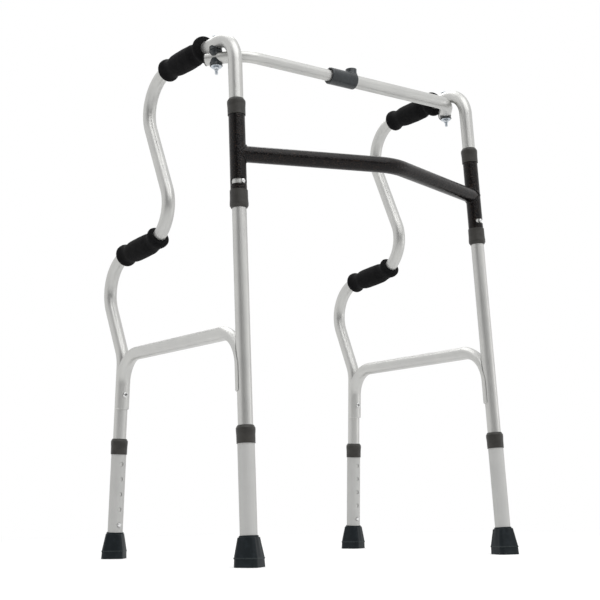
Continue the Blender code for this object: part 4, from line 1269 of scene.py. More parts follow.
@dataclass(frozen=True)
class SideFrame:
    """Bent side tube with its lower brace, grips and brace screws.

    A grip's three numbers are its rearward start, its length and its front bead's radius.
    """

    wall: float = 0.0012
    tube_end_w: float = 0.032
    waist: tuple[float, float, float] = (0.0008, 0.2120, 0.5284)
    low_rear: tuple[float, float, float] = (0.0052, 0.4756, 0.5105)
    knee_w: float = 0.3381
    bends: tuple[float, ...] = (0.0480, 0.0629, 0.0591, 0.0633, 0.0600)
    bend_hold: float = 0.03
    upper_grip: tuple[float, float, float] = (0.1270, 0.1245, 0.0220)
    lower_grip: tuple[float, float, float] = (0.2715, 0.1200, 0.0193)
    grip_gap: float = 0.00005
    grip_mid_r: float = 0.0187
    grip_neck_r: float = 0.0168
    grip_bead_r: float = 0.0193
    bead_length: float = 0.0140
    bead_roll: float = 0.0040
    bead_places: tuple[float, ...] = (0.0, 0.05, 0.14, 0.41, 0.71, 1.0)
    bead_drops: tuple[float, ...] = (1.30, 0.55, 0.22, 0.0, 0.20)
    barrel_places: tuple[float, ...] = (0.3, 0.5, 0.7)
    barrel_shares: tuple[float, ...] = (0.75, 1.0, 0.75)
    ring_spacing: float = 0.0011
    unevenness: float = 0.00007

    def line(self, side: Side) -> Array:
        """Centre line of the side tube in the side plane, from the front leg's foot to the rear's.

        Args:
            side: the side frame.

        Returns:
            The line's points.
        """
        sign, w, foot = side.value, STANCE.handle_w, self.tube_end_w
        corners = [
            (0.0, STANCE.front_u(foot), foot), (0.0, STANCE.front_u(w), w),
            (sign * STANCE.handle_flare, STANCE.handle_rear_u, w),
            (sign * self.waist[0], *self.waist[1:]), (sign * self.low_rear[0], *self.low_rear[1:]),
            (0.0, STANCE.rear_u(self.knee_w), self.knee_w), (0.0, STANCE.rear_u(foot), foot)]
        return filleted(np.array(corners), self.bends, hold=self.bend_hold)

    def station(self, line: Array, u: float, w: float) -> float:
        """Distance along the line where it passes rearward place u, nearest to height w.

        Args:
            line: the tube's line in the side plane.
            u: rearward place.
            w: height.

        Returns:
            The distance.
        """
        a, b = line[:-1], line[1:]
        passes = (a[:, 1] <= u) & (u < b[:, 1])
        share = np.where(passes, (u - a[:, 1]) / np.where(passes, b[:, 1] - a[:, 1], 1.0), 0.0)
        height = a[:, 2] + share * (b[:, 2] - a[:, 2])
        best = int(np.argmin(np.where(passes, np.abs(height - w), np.inf)))
        return float(run_lengths(line)[best] + share[best] * np.linalg.norm(b[best] - a[best]))

    def build(self, side: Side) -> None:
        """Builds every piece of one side frame.

        Args:
            side: which side frame.
        """
        body, matrix = f"{side.word}_side_frame", STANCE.side(side)
        local = self.line(side)
        line = placed(matrix, local)
        tube = piped(line, matrix[:3, 0], STANCE.tube_r, self.wall)
        stand_in(f"{side.word}_frame_tube", "bent", FRAME_METAL, body, tube)
        for word, sizes, w in (("upper_grip", self.upper_grip, STANCE.handle_w),
                               ("lower_grip", self.lower_grip, self.low_rear[2])):
            skin = self.grip(line, matrix, self.station(local, sizes[0], w), *sizes[1:])
            stand_in(f"{side.word}_{word}", "foam", FOAM, body, skin)
        LowerBrace().build(side)

    def grip(self, line: Array, matrix: Array, start: float, length: float, front_bead: float) -> Skin:
        """Foam sleeve on the tube: a bead at each end, a neck beside it and a fuller middle.

        Its radius runs through the bead, neck and middle values by a smooth curve, with an unevenness
        of about a tenth of a millimetre from three slow waves.

        Args:
            line: the tube's line.
            matrix: the side frame's placement.
            start: distance along the line to the grip's front end.
            length: the grip's length.
            front_bead: radius of its front bead.

        Returns:
            The skin, closed over both rims.
        """
        bead, neck = self.bead_length, self.grip_neck_r
        places = np.array(self.bead_places) * bead
        drops = np.array(self.bead_drops) * self.bead_roll
        barrel = neck + (self.grip_mid_r - neck) * np.array(self.barrel_shares)
        xs = np.concatenate([places, length * np.array(self.barrel_places), length - places[::-1]])
        rs = np.concatenate([front_bead - drops, [neck], barrel, [neck], self.grip_bead_r - drops[::-1]])
        s = stretch(line, start, start + length, self.ring_spacing)
        theta, up = angles(72), s[:, None]
        waves = np.sin(3 * theta + 90 * up) + np.sin(2 * theta - 160 * up) + np.sin(260 * up)
        fade = np.minimum(1.0, np.minimum(s - start, start + length - s) / bead)[:, None]
        radii = eased(xs, rs, s - start)[:, None] + self.unevenness * waves * fade
        path = along(line, s)
        skin = swept(path, matrix[:3, 0], radii, len(theta))
        bore = STANCE.tube_r + self.grip_gap
        centres = path[[0, -1], None]
        rims = centres + unit(skin.points[[0, -1]] - centres) * bore
        grid = np.concatenate([rims[:1], skin.points, rims[1:]])
        rim = np.full((1, len(theta)), bore)
        lengths = np.concatenate([[s[0] - self.bead_roll], s, [s[-1] + self.bead_roll]])
        return Skin(grid, unrolled(np.concatenate([rim, radii, rim]), theta, lengths), closed_along=True)


def eased(xs: Array, ys: Array, wanted: Array) -> Array:
    """Curve through points whose slope at each is the mean of its neighbours' (a cubic Hermite).

    Args:
        xs: places of the points, in order.
        ys: their values; the curve is flat between two equal ones.
        wanted: places to read it at.

    Returns:
        The values there.
    """
    slopes = np.gradient(ys, xs)
    index = np.clip(np.searchsorted(xs, wanted, side="right") - 1, 0, len(xs) - 2)
    span, rise = xs[index + 1] - xs[index], ys[index + 1] - ys[index]
    t = np.clip((wanted - xs[index]) / span, 0.0, 1.0)
    scale = np.where(np.abs(rise) < 1e-9, 0.0, span)
    first, last = slopes[index] * scale, slopes[index + 1] * scale
    return ys[index] + t * (first + t * (3 * rise - 2 * first - last + t * (first + last - 2 * rise)))


@dataclass(frozen=True)
class BraceEnd:
    """What differs between a lower brace's two ends; the last two are heights above the brace's tip."""

    bend_r: float
    squash: float
    seam_up: float
    screw_up: float


BRACE_ENDS = {
    End.REAR: BraceEnd(0.0500, 0.0, 0.0930, 0.0250), End.FRONT: BraceEnd(0.0540, 0.0024, 0.0845, 0.0120)}


@dataclass(frozen=True)
class LowerBrace:
    """Round brace whose ends turn down and are pressed round the insides of both legs."""

    tube_r: float = 0.0111
    inset: float = 0.0025
    half_w: float = 0.0126
    tip_w: float = 0.2500
    rise: float = 0.0917
    wrap: float = 0.0015
    chamfer: float = 0.0012
    seam: float = math.radians(16.0)
    seam_reach: float = 0.02
    ring_spacing: float = 0.0015
    screw_r: float = 0.0020
    screw_point: tuple[float, float] = (0.0006, 0.0008)
    head_r: float = 0.0046
    head_h: float = 0.0024
    crown_share: float = 0.62
    screw_length: float = 0.0105
    recess_half: tuple[float, float] = (0.0024, 0.0005)
    recess_edge: tuple[float, float] = (-0.0002, 0.0001)
    recess_depth: float = 0.0012

    def build(self, side: Side) -> None:
        """Builds the brace and its two screws.

        Args:
            side: the side frame it belongs to.
        """
        body = f"{side.word}_side_frame"
        stand_in(f"{side.word}_lower_brace", "tube", FRAME_METAL, body, self.skin(side))
        for end in End:
            s = (self.tip_w + BRACE_ENDS[end].screw_up) / math.cos(STANCE.lean)
            screw = self.screw(STANCE.out_of_leg(side, end, s, end.value))
            stand_in(f"{side.word}_{end.word}_brace_screw", "pan_head", STEEL, body, screw)

    def line(self) -> Array:
        """The brace's line in the side plane, from its rear tip to its front one, with all its rings.

        Returns:
            The points, one for each ring.
        """
        top, tip = self.tip_w + self.rise, self.tip_w
        rear, front = STANCE.rear_u, STANCE.front_u
        corners = np.array([
            (0.0, rear(tip) - self.inset, tip), (0.0, rear(top) - self.inset, top),
            (0.0, front(top) + self.inset, top), (0.0, front(tip) + self.inset, tip)])
        line = filleted(corners, [BRACE_ENDS[end].bend_r for end in (End.REAR, End.FRONT)], math.radians(2.0))
        own = run_lengths(line)
        even = np.arange(0.0025, own[-1] - 0.0020, self.ring_spacing)
        even = even[np.abs(even[:, None] - own).min(axis=1) > 0.8 * self.ring_spacing]
        rims = np.array([0.5, 1.0]) * self.chamfer
        return along(line, np.sort(np.concatenate([own, even, rims, own[-1] - rims])))

    def skin(self, side: Side) -> Skin:
        """Oval sweep along the brace, pressed against the two legs.

        Args:
            side: the side frame it belongs to.

        Returns:
            The skin, with flat ends.
        """
        matrix, line = STANCE.side(side), self.line()
        s = run_lengths(line)
        from_tip = np.minimum(s, s[-1] - s)
        cut = self.chamfer * (1 - np.clip(from_tip / self.chamfer, 0.0, 1.0))
        halves = ((End.REAR, s <= s[-1] / 2), (End.FRONT, s > s[-1] / 2))
        turned_by = math.pi / 2 - STANCE.lean
        half_w, squash = np.empty(len(s)), np.empty(len(s))
        for end, near in halves:
            radius = BRACE_ENDS[end].bend_r
            upright = self.rise / math.cos(STANCE.lean) - radius * math.tan(turned_by / 2)
            share = np.clip((from_tip[near] - upright) / (radius * turned_by), 0.0, 1.0)
            half_w[near] = self.half_w + (self.tube_r - self.half_w) * smoothstep(0.0, 1.0, share)
            squash[near] = BRACE_ENDS[end].squash * np.sin(math.pi * share)
        way = unit(np.gradient(unit(np.gradient(line, axis=0)), axis=0) + 1e-12)
        line = line + way * np.where(squash > TINY, squash, 0.0)[:, None]
        skin = swept(placed(matrix, line), matrix[:3, 0], half_w - cut, 96, self.tube_r - squash - cut)
        for end, near in halves:
            leg = STANCE.leg(side, end)
            skin.points[near] = placed(leg, self.pressed(placed(np.linalg.inv(leg), skin.points[near]), end))
        skin.capped = True
        return skin

    def pressed(self, local: Array, end: End) -> Array:
        """Points of the brace in a leg's frame, moved off the leg.

        A point nearer the leg's far side than D goes to D, where D is the larger of the leg's own
        surface, sqrt(rc^2 - x^2), and the seam's slanting plane; both are distances from the leg's axis
        towards the brace.

        Args:
            local: the points.
            end: front or rear leg.

        Returns:
            The moved points.
        """
        clear = STANCE.tube_r + STANCE.gap
        x, toward, z = local[..., 0], local[..., 1] * end.value, local[..., 2]
        wall = np.where(np.abs(x) < clear, np.sqrt(np.maximum(clear ** 2 - x ** 2, 0.0)), -1.0)
        seam_z = (self.tip_w + BRACE_ENDS[end].seam_up) / math.cos(STANCE.lean)
        slant = STANCE.tube_r - (seam_z - z) * math.tan(self.seam)
        edge = np.where(z < seam_z + self.seam_reach, np.maximum(slant, -self.wrap), -1.0)
        toward = np.maximum(toward, np.maximum(wall, edge))
        return np.stack([x, toward * end.value, z], axis=-1)

    def screw(self, matrix: Array) -> Skin:
        """Pan-head screw with a cross recess.

        The recess lowers the head's top by a smooth step of the distance to the nearer of two crossed
        bars.

        Args:
            matrix: frame on the leg's axis, z out of the leg towards the brace.

        Returns:
            The skin.
        """
        seat = self.inset + self.tube_r * math.cos(math.pi / 16) + STANCE.gap
        r, head, top, foot = self.screw_r, self.head_r, seat + self.head_h, seat - self.screw_length
        crown, (taper, point) = head * self.crown_share, self.screw_point
        outline = profile([
            (0.0, foot, 0.0), (r - taper, foot, 0.0), (r, foot + point, 0.0002), (r, seat, 0.0),
            (head, seat, 0.0002), (head, seat + self.head_h * 0.42, 0.0008), (head * 0.66, top, 0.0016),
            (crown, top, 0.0)])
        inner = np.linspace(crown, 0.0, 16)[1:]
        outline = np.concatenate([outline, np.stack([inner, np.full(len(inner), top)], axis=1)])
        skin = turned(outline, np.eye(4), 96)
        x, y, z = np.abs(skin.points[..., 0]), np.abs(skin.points[..., 1]), skin.points[..., 2]
        long, short = self.recess_half
        bar = np.minimum(np.maximum(x - long, y - short), np.maximum(y - long, x - short))
        cut = (1 - smoothstep(*self.recess_edge, bar)) * (z > seat + self.head_h / 2)
        # The cross recess is marked as a deep recess, which paints shade in it.
        skin.wear = np.where(cut > 0.5, -1.0, skin.wear)
        skin.points[..., 2] = z - self.recess_depth * cut
        skin.points = placed(matrix, skin.points)
        return skin


@dataclass(frozen=True)
class CrossBrace:
    """Black sleeves on the front legs, the bent tube welded between them and the sleeve collars."""

    sleeve_r: float = 0.0127
    sleeve_wall: float = 0.0005
    sleeve_inset: float = 0.0033
    bush_wall: float = 0.0005
    bush_inset: tuple[float, float] = (0.0200, 0.0053)
    low_s: float = 0.5278
    low_h: float = 0.0280
    high_s: float = 0.6766
    high_h: float = 0.0265
    slot_s: float = 0.5685
    slot_h: float = 0.0076
    slot_outer: float = math.radians(108.0)
    slot_inner: float = math.radians(38.0)
    slot_columns: tuple[float, ...] = (-1.6, -1.0, -0.6, -0.3, 0.0, 0.3, 0.6, 1.0, 1.6)
    cross_s: float = 0.6150
    bulge: float = 0.0771
    bend_r: float = 0.0800
    tube_r: float = 0.0127
    trim: float = 0.030
    ring_spacing: float = 0.012
    weld_r: float = 0.0019
    weld_sunk: float = 0.0001
    weld_ripples: tuple[tuple[float, int, float], ...] = ((0.10, 26, 0.0), (0.06, 7, 1.0))
    button_proud: float = 0.0022

    def build(self) -> None:
        """Builds the sleeves, collars, bushes, swing buttons, cross tube and weld beads."""
        for side in Side:
            self.build_side(side)
        tube, *beads = self.tube()
        stand_in("cross_tube", "bent", BLACK_COAT, "cross_brace", tube)
        for side, bead in zip(Side, beads):
            Piece(f"{side.word}_weld_bead", BLACK_COAT, "cross_brace", ("cross_tube",)).make(bead)

    def build_side(self, side: Side) -> None:
        """Builds what sits on one front leg.

        Args:
            side: the side frame whose front leg it is.
        """
        leg, word = STANCE.leg(side, End.FRONT), side.word
        stand_in(f"{word}_sleeve", "tube", BLACK_COAT, "cross_brace", self.sleeve(side, leg),
                 wall=self.sleeve_wall)
        for place, s, h in (("upper", self.high_s, self.high_h), ("lower", self.low_s, self.low_h)):
            skin = COLLAR.skin(leg @ shift(0.0, 0.0, s), self.sleeve_r, h, place == "lower")
            stand_in(f"{word}_sleeve_collar_{place}", "moulding", GREY_PLASTIC, "cross_brace", skin)
        inner = STANCE.tube_r + STANCE.gap
        outer = inner + self.bush_wall
        low, high = self.slot_s + self.bush_inset[0], self.high_s + self.high_h - self.bush_inset[1]
        bush = ring_profile([(inner, low, 0.0), (outer, low, 0.0), (outer, high, 0.0), (inner, high, 0.0)])
        stand_in(f"{word}_pivot_bush", "liner", PALE_NYLON, f"{word}_side_frame", turned(bush, leg, 48, True))
        out = STANCE.out_of_leg(side, End.FRONT, self.slot_s, -1.0)
        pin = SnapButton().skins(out, self.sleeve_r + self.button_proud)
        stand_in(f"{word}_swing_button", "pin", STEEL, f"{word}_swing_button", *pin)

    def sleeve(self, side: Side, leg: Array) -> Skin:
        """Sleeve wall with its slot, whose ends are drawn round.

        An end's grid line is moved along the sleeve by r - sqrt(r^2 - dz^2), less and less away from
        the slot.

        Args:
            side: the side frame whose front leg it is on.
            leg: the leg's frame.

        Returns:
            The skin, open at its ends and in the slot.
        """
        low, high = self.low_s + self.sleeve_inset, self.high_s + self.high_h - self.sleeve_inset
        mid, half, rim = self.slot_s, self.slot_h / 2, 0.0003
        rows = np.concatenate([
            [low, low + rim], np.linspace(low, mid - 2 * half, 4)[1:], [mid - 1.4 * half],
            mid + half * np.linspace(-1.0, 1.0, 13), [mid + 1.4 * half],
            np.linspace(mid + 2 * half, high, 12)[:-1], [high - rim, high]])
        start, end = ((-self.slot_outer, self.slot_inner) if side is Side.LEFT
                      else (-self.slot_inner, self.slot_outer))
        tip = half / self.sleeve_r
        near = np.array(self.slot_columns) * tip
        inside = np.linspace(start + 2 * tip, end - 2 * tip, 26)
        outside = np.linspace(end + 2 * tip, start - 2 * tip + 2 * math.pi, 22)
        columns = np.concatenate([start + near, inside, end + near, outside])
        s, angle = np.meshgrid(rows, columns, indexing="ij")
        off = np.abs(s - mid)
        draw = (half - np.sqrt(half ** 2 - np.minimum(off, half) ** 2)) / self.sleeve_r
        draw = draw * (1 - smoothstep(half, 2 * half, off))

        def close_to(edge: float) -> Array:
            """1 at an edge of the slot, falling smoothly to 0 beside it."""
            return 1 - smoothstep(0.0, 1.9 * tip, np.abs(angle - edge))

        drawn = angle + draw * close_to(start) - draw * close_to(end)
        local = np.stack([np.sin(drawn) * self.sleeve_r, -np.cos(drawn) * self.sleeve_r, s], axis=-1)
        mid_s = (rows[1:] + rows[:-1]) / 2
        mid_a = (columns + np.append(columns[1:], columns[0] + 2 * math.pi)) / 2
        in_band = (np.abs(mid_s - mid) < half)[:, None]
        in_slot = ((mid_a > start) & (mid_a < end))[None, :]
        return Skin(placed(leg, local), local, keep=~(in_band & in_slot))

    def tube(self) -> tuple[Skin, Skin, Skin]:
        """Cross tube trimmed to the sleeves, and a weld bead along each joint.

        Each line of the tube's skin ends where it meets the sleeve's cylinder.

        Returns:
            The tube's skin and the left and right beads'.
        """
        legs = {side: STANCE.leg(side, End.FRONT) for side in Side}
        left, right = (placed(legs[side], np.array([0.0, 0.0, self.cross_s])) for side in Side)
        apex = np.array([0.0, left[1] - self.bulge, left[2]])
        line = filleted(np.stack([left, apex, right]), (self.bend_r,))
        s = stretch(line, self.trim, float(run_lengths(line)[-1]) - self.trim, self.ring_spacing)
        rings = swept(along(line, s), UP, self.tube_r, 64).points
        first = self.meet(rings[0], unit(rings[0] - rings[1]), legs[Side.LEFT])
        last = self.meet(rings[-1], unit(rings[-1] - rings[-2]), legs[Side.RIGHT])
        points = np.concatenate([
            first[None], (first + rings[0])[None] / 2, rings, (last + rings[-1])[None] / 2, last[None]])
        lengths = np.concatenate([[s[0] - 0.02, s[0] - 0.01], s, [s[-1] + 0.01, s[-1] + 0.02]])
        skin = Skin(points, unrolled(np.array(self.tube_r), angles(64), lengths), capped=True)
        return skin, self.bead(first, rings[0], legs[Side.LEFT]), self.bead(last, rings[-1], legs[Side.RIGHT])

    def meet(self, start: Array, way: Array, leg: Array) -> Array:
        """Where lines first meet a sleeve, from the quadratic in the distance along each line.

        Args:
            start: a point of each line.
            way: the lines' directions.
            leg: frame of the leg that the sleeve is on.

        Returns:
            The meeting points, a little inside the sleeve's surface.
        """
        inverse = np.linalg.inv(leg)
        p, d = placed(inverse, start)[:, :2], (way @ inverse[:3, :3].T)[:, :2]
        a, b = (d * d).sum(1), (p * d).sum(1)
        c = (p * p).sum(1) - (self.sleeve_r - self.weld_sunk) ** 2
        reach = (-b - np.sqrt(np.maximum(b * b - a * c, 0.0))) / a
        return start + way * reach[:, None]

    def bead(self, curve: Array, ring: Array, leg: Array) -> Skin:
        """Weld bead: a small ring swept along a closed curve, its radius rippled by sines.

        Args:
            curve: points where the tube meets the sleeve.
            ring: the tube's nearest ring.
            leg: frame of the leg that the sleeve is on.

        Returns:
            The skin.
        """
        fine = np.linspace(0.0, 1.0, 193)[:-1] * len(curve)
        index = np.floor(fine).astype(int)
        share = (fine - index)[:, None]
        path = curve[index] * (1 - share) + curve[(index + 1) % len(curve)] * share
        tangent = unit(np.roll(path, -1, axis=0) - np.roll(path, 1, axis=0))
        off_leg = unit(placed(np.linalg.inv(leg), path) * (1.0, 1.0, 0.0)) @ leg[:3, :3].T
        axis = ring.mean(axis=0)
        way = unit(axis - curve.mean(axis=0))
        off_tube = path - axis
        off_tube = unit(off_tube - (off_tube @ way)[:, None] * way)
        first = off_leg + off_tube
        first = unit(first - (first * tangent).sum(1)[:, None] * tangent)
        second = np.cross(tangent, first)
        turns, theta = angles(len(path)), angles(14)
        ripple = self.weld_r * (1 + sum(size * np.sin(turns * count + phase)
                                        for size, count, phase in self.weld_ripples))[:, None, None]
        wide, deep = np.cos(theta)[None, :, None] * ripple, np.sin(theta)[None, :, None] * ripple
        points = path[:, None] + first[:, None] * wide + second[:, None] * deep
        lengths = np.arange(len(path)) * 0.0005
        return Skin(points, unrolled(ripple[..., 0], theta, lengths), closed_along=True)


@dataclass(frozen=True)
class Crossbar:
    """Telescoping top crossbar: two bent halves, the joint's sleeve, its button and the end caps."""

    inner_r: float = 0.009525
    inner_wall: float = 0.0012
    outer_r: float = 0.0111
    outer_wall: float = 0.0010
    setback: float = 0.0615
    end_angle: float = math.radians(52.0)
    bend_r: float = 0.0500
    bend_hold: float = 0.03
    tail: float = 0.0165
    inner_tip_x: float = 0.0300
    outer_tip_x: float = -0.0400
    spare_hole_x: float = -0.1640
    spare_hole_r: float = 0.0020
    spare_hole_deep: float = 0.0011
    sleeve_x0: float = -0.0478
    sleeve_x1: float = 0.0040
    sleeve_r: float = 0.0139
    ridge_h: float = 0.0006
    ridge_half_w: float = 0.0011
    button_x: float = -0.0010
    button_proud: float = 0.0022
    leaf_drop: float = 0.0024
    boss_r: float = 0.0096
    boss_wall: float = 0.0020
    boss_top: float = 0.0202
    boss_flare: tuple[tuple[float, float], ...] = (
        (0.0014, -0.0005), (0.0014, 0.0), (0.0006, 0.0003), (0.0002, 0.0008), (0.0, 0.0017))
    boss_rub: float = 0.6
    cap_t: float = 0.0022
    cap_lip: float = 0.0005
    plug: float = 0.0060

    @property
    def y(self) -> float:
        """Place of the straight part in Y."""
        return STANCE.front_leg_y + self.setback

    @property
    def z(self) -> float:
        """Height of the whole crossbar."""
        return STANCE.handle_w - STANCE.bar_drop

    def radius(self, side: Side) -> float:
        """Outer radius of a half."""
        return self.inner_r if side is Side.LEFT else self.outer_r

    def wall(self, side: Side) -> float:
        """Wall of a half."""
        return self.inner_wall if side is Side.LEFT else self.outer_wall

    def line(self, side: Side, tip_x: float) -> Array:
        """Centre line of a half, from its tip to its tail behind the bolt.

        Args:
            side: left or right half.
            tip_x: X of its tip.

        Returns:
            The line's points.
        """
        matrix = STANCE.pivot(side)
        pivot = matrix[:3, 3] + matrix[:3, 2] * ((self.z - matrix[2, 3]) / matrix[2, 2])
        corner_x = pivot[0] - side.value * (pivot[1] - self.y) / math.tan(self.end_angle)
        corner = np.array([corner_x, self.y, self.z])
        tail = pivot + unit(pivot - corner) * self.tail
        corners = np.stack([(tip_x, self.y, self.z), corner, tail])
        return filleted(corners, (self.bend_r,), hold=self.bend_hold)

    def build(self) -> None:
        """Builds both halves, the caps, the joint's sleeve and the button."""
        for side, tip in ((Side.LEFT, self.inner_tip_x), (Side.RIGHT, self.outer_tip_x)):
            body, name = f"{side.word}_crossbar_half", f"{side.word}_crossbar"
            line = self.line(side, tip)
            skin = piped(line, UP, self.radius(side), self.wall(side))
            stand_in(name, "tube", FRAME_METAL, body, skin)
            if side is Side.LEFT:
                stand_in(name, "spare_hole", CAP_PLASTIC, body, self.spare_hole())
            stand_in(f"{name}_cap", "plug", CAP_PLASTIC, body, self.cap(side, line))
        joint = ("crossbar_sleeve",)
        for tail, skin in (("sleeve", self.sleeve()), ("hood", self.hood())):
            Piece(f"crossbar_joint_{tail}", SLATE_PLASTIC, "right_crossbar_half", joint).make(skin)
        stand_in("crossbar_button", "pin", STEEL, "crossbar_button", *self.button())

    def cap(self, side: Side, line: Array) -> Skin:
        """Cap of a half's tail: a plug in the tube and a lipped, rounded face over its end.

        Args:
            side: left or right half.
            line: the half's line.

        Returns:
            The skin.
        """
        gap, r = STANCE.gap, self.radius(side)
        inside, lip = r - self.wall(side) - gap, r + self.cap_lip
        outline = profile([
            (0.0, -self.plug, 0.0), (inside, -self.plug, 0.0005), (inside, gap, 0.0), (lip, gap, 0.0002),
            (lip, self.cap_t * 0.7, 0.0005), (r - 0.0020, self.cap_t, 0.0008), (0.0, self.cap_t, 0.0)])
        return turned(outline, basis(line[-1], line[-1] - line[-2], UP), 56)

    def spare_hole(self) -> Skin:
        """Blind hole in the underside, as a dark drilled cup set flush in the tube's wall.

        The cup's rim follows the tube, -sqrt(R^2 - y^2), a twentieth of a millimetre proud.

        Returns:
            The skin.
        """
        r, deep, thick = self.spare_hole_r, self.spare_hole_deep, 0.0001
        outline = np.array([
            (0.0, deep), (r * 0.86, deep), (r * 0.9, deep * 0.4), (r, 0.0), (r * 1.05, 0.0),
            (r * 1.05, deep + thick), (0.0, deep + thick)])
        skin = turned(outline, np.eye(4), 32)
        x, y, z = (skin.points[..., axis] for axis in range(3))
        rim = -np.sqrt(self.inner_r ** 2 - y ** 2) - 0.00005
        local = np.stack([x, y, rim + np.maximum(z, 0.0)], axis=-1)
        skin.points = local + (self.spare_hole_x, self.y, self.z)
        return skin

    def sleeve(self) -> Skin:
        """Joint's sleeve, turned about X, with a low ridge on top from its left mouth to the hood.

        Returns:
            The skin.
        """
        length = self.sleeve_x1 - self.sleeve_x0
        r, bore = self.sleeve_r, self.outer_r + STANCE.gap
        outline = ring_profile([
            (bore, 0.0, 0.0003), (r, 0.0, 0.0011), (r, length * 0.5, 0.0), (r, length, 0.0011),
            (bore, length, 0.0003)])
        matrix = basis(np.array([self.sleeve_x0, self.y, self.z]), np.array([1.0, 0.0, 0.0]), UP)

        def reach(radius: Array, z: Array, angle: Array) -> Array:
            """Radii with the ridge: a narrow round hump at angle 0, which looks up.

            Args:
                radius: the outline's distances off the axis.
                z: heights; not used.
                angle: angles about the axis.

            Returns:
                The changed distances.
            """
            off = np.abs((angle + math.pi) % (2 * math.pi) - math.pi) * r
            hump = self.ridge_h * np.sqrt(np.maximum(1 - (off / self.ridge_half_w) ** 2, 0.0))
            return np.where(radius > r - 0.0002, radius + hump, radius)

        return turned(outline, matrix, 192, closed=True, reach=reach)

    def hood(self) -> Skin:
        """U-shaped wall round the button, open to the right.

        A wall section with a round rim and a flared foot follows an arc. Its height runs from the
        sleeve's own surface, sqrt(R^2 - y^2), at share 0 to the hood's top at share 1.

        Returns:
            The skin, with flat ends.
        """
        mid, half, soft = self.boss_r - self.boss_wall / 2, self.boss_wall / 2, self.boss_wall * 0.45
        open_angle = math.acos((self.sleeve_x1 - self.button_x) / mid)
        arc = np.linspace(open_angle, 2 * math.pi - open_angle, 73)
        corner = np.linspace(0.0, math.pi / 2, 6)
        flare = np.array(self.boss_flare)
        off = np.concatenate([half + flare[:, 0], half - soft + soft * np.cos(corner),
                              -half + soft - soft * np.sin(corner), [-half, -half]])
        below = np.concatenate([soft - soft * np.sin(corner), soft - soft * np.cos(corner)])
        r = mid + off[None, :]
        x, y = self.button_x + r * np.cos(arc)[:, None], r * np.sin(arc)[:, None]
        surface = np.sqrt(np.maximum(self.sleeve_r ** 2 - y ** 2, 0.0))
        first, last = len(flare), len(flare) + len(below)
        z = np.concatenate([
            surface[:, :first] + flare[:, 1], np.broadcast_to(self.boss_top - below, (len(arc), len(below))),
            (surface[:, last:last + 1] + self.boss_top) / 2, surface[:, last + 1:] - 0.0005], axis=1)
        run = np.stack([x, y, z], axis=-1)[:, ::-1]
        rubbed = np.zeros(off.shape)
        rubbed[first:last] = self.boss_rub
        wear = np.broadcast_to(rubbed, x.shape)[:, ::-1]
        return Skin(run + (0.0, self.y, self.z), run, wear, capped=True)

    def button(self) -> tuple[Skin, Skin]:
        """The joint's snap button and its leaf spring.

        Returns:
            The pin's skin and the leaf's.
        """
        matrix = shift(self.button_x, self.y, self.z) @ turn("Z", math.pi / 2)
        base = self.inner_r - self.inner_wall - self.leaf_drop
        button = SnapButton(flange_r=0.0042, base=base, leaf_half_w=0.0032)
        return button.skins(matrix, self.sleeve_r + self.button_proud)


@dataclass(frozen=True)
class Hollow:
    """A tube that a spacer's end is hollowed to fit.

    Attributes:
        height: place of the tube's axis along the bolt.
        way: the tube's direction in the bolt's frame.
        radius: the tube's radius with its clearance.
        sign: 1 for a spacer above the tube and -1 for one below it.
        rim: height where the hollow's ears are cut off.
    """

    height: float
    way: Array
    radius: float
    sign: float
    rim: float

    def surface(self, radius: Array, theta: Array) -> Array:
        """Height of the hollowed end: axis height + sign * sqrt(rc^2 - off^2), cut off at the rim.

        Args:
            radius: distances off the bolt's axis.
            theta: angles about it.

        Returns:
            The heights, off being the distance from the tube's line.
        """
        across = np.array([self.way[1], -self.way[0]]) / math.hypot(self.way[0], self.way[1])
        off = radius * (np.cos(theta) * across[0] + np.sin(theta) * across[1])
        height = self.height + self.sign * np.sqrt(np.maximum(self.radius ** 2 - off ** 2, 0.0))
        return np.maximum(height, self.rim) if self.sign > 0 else np.minimum(height, self.rim)


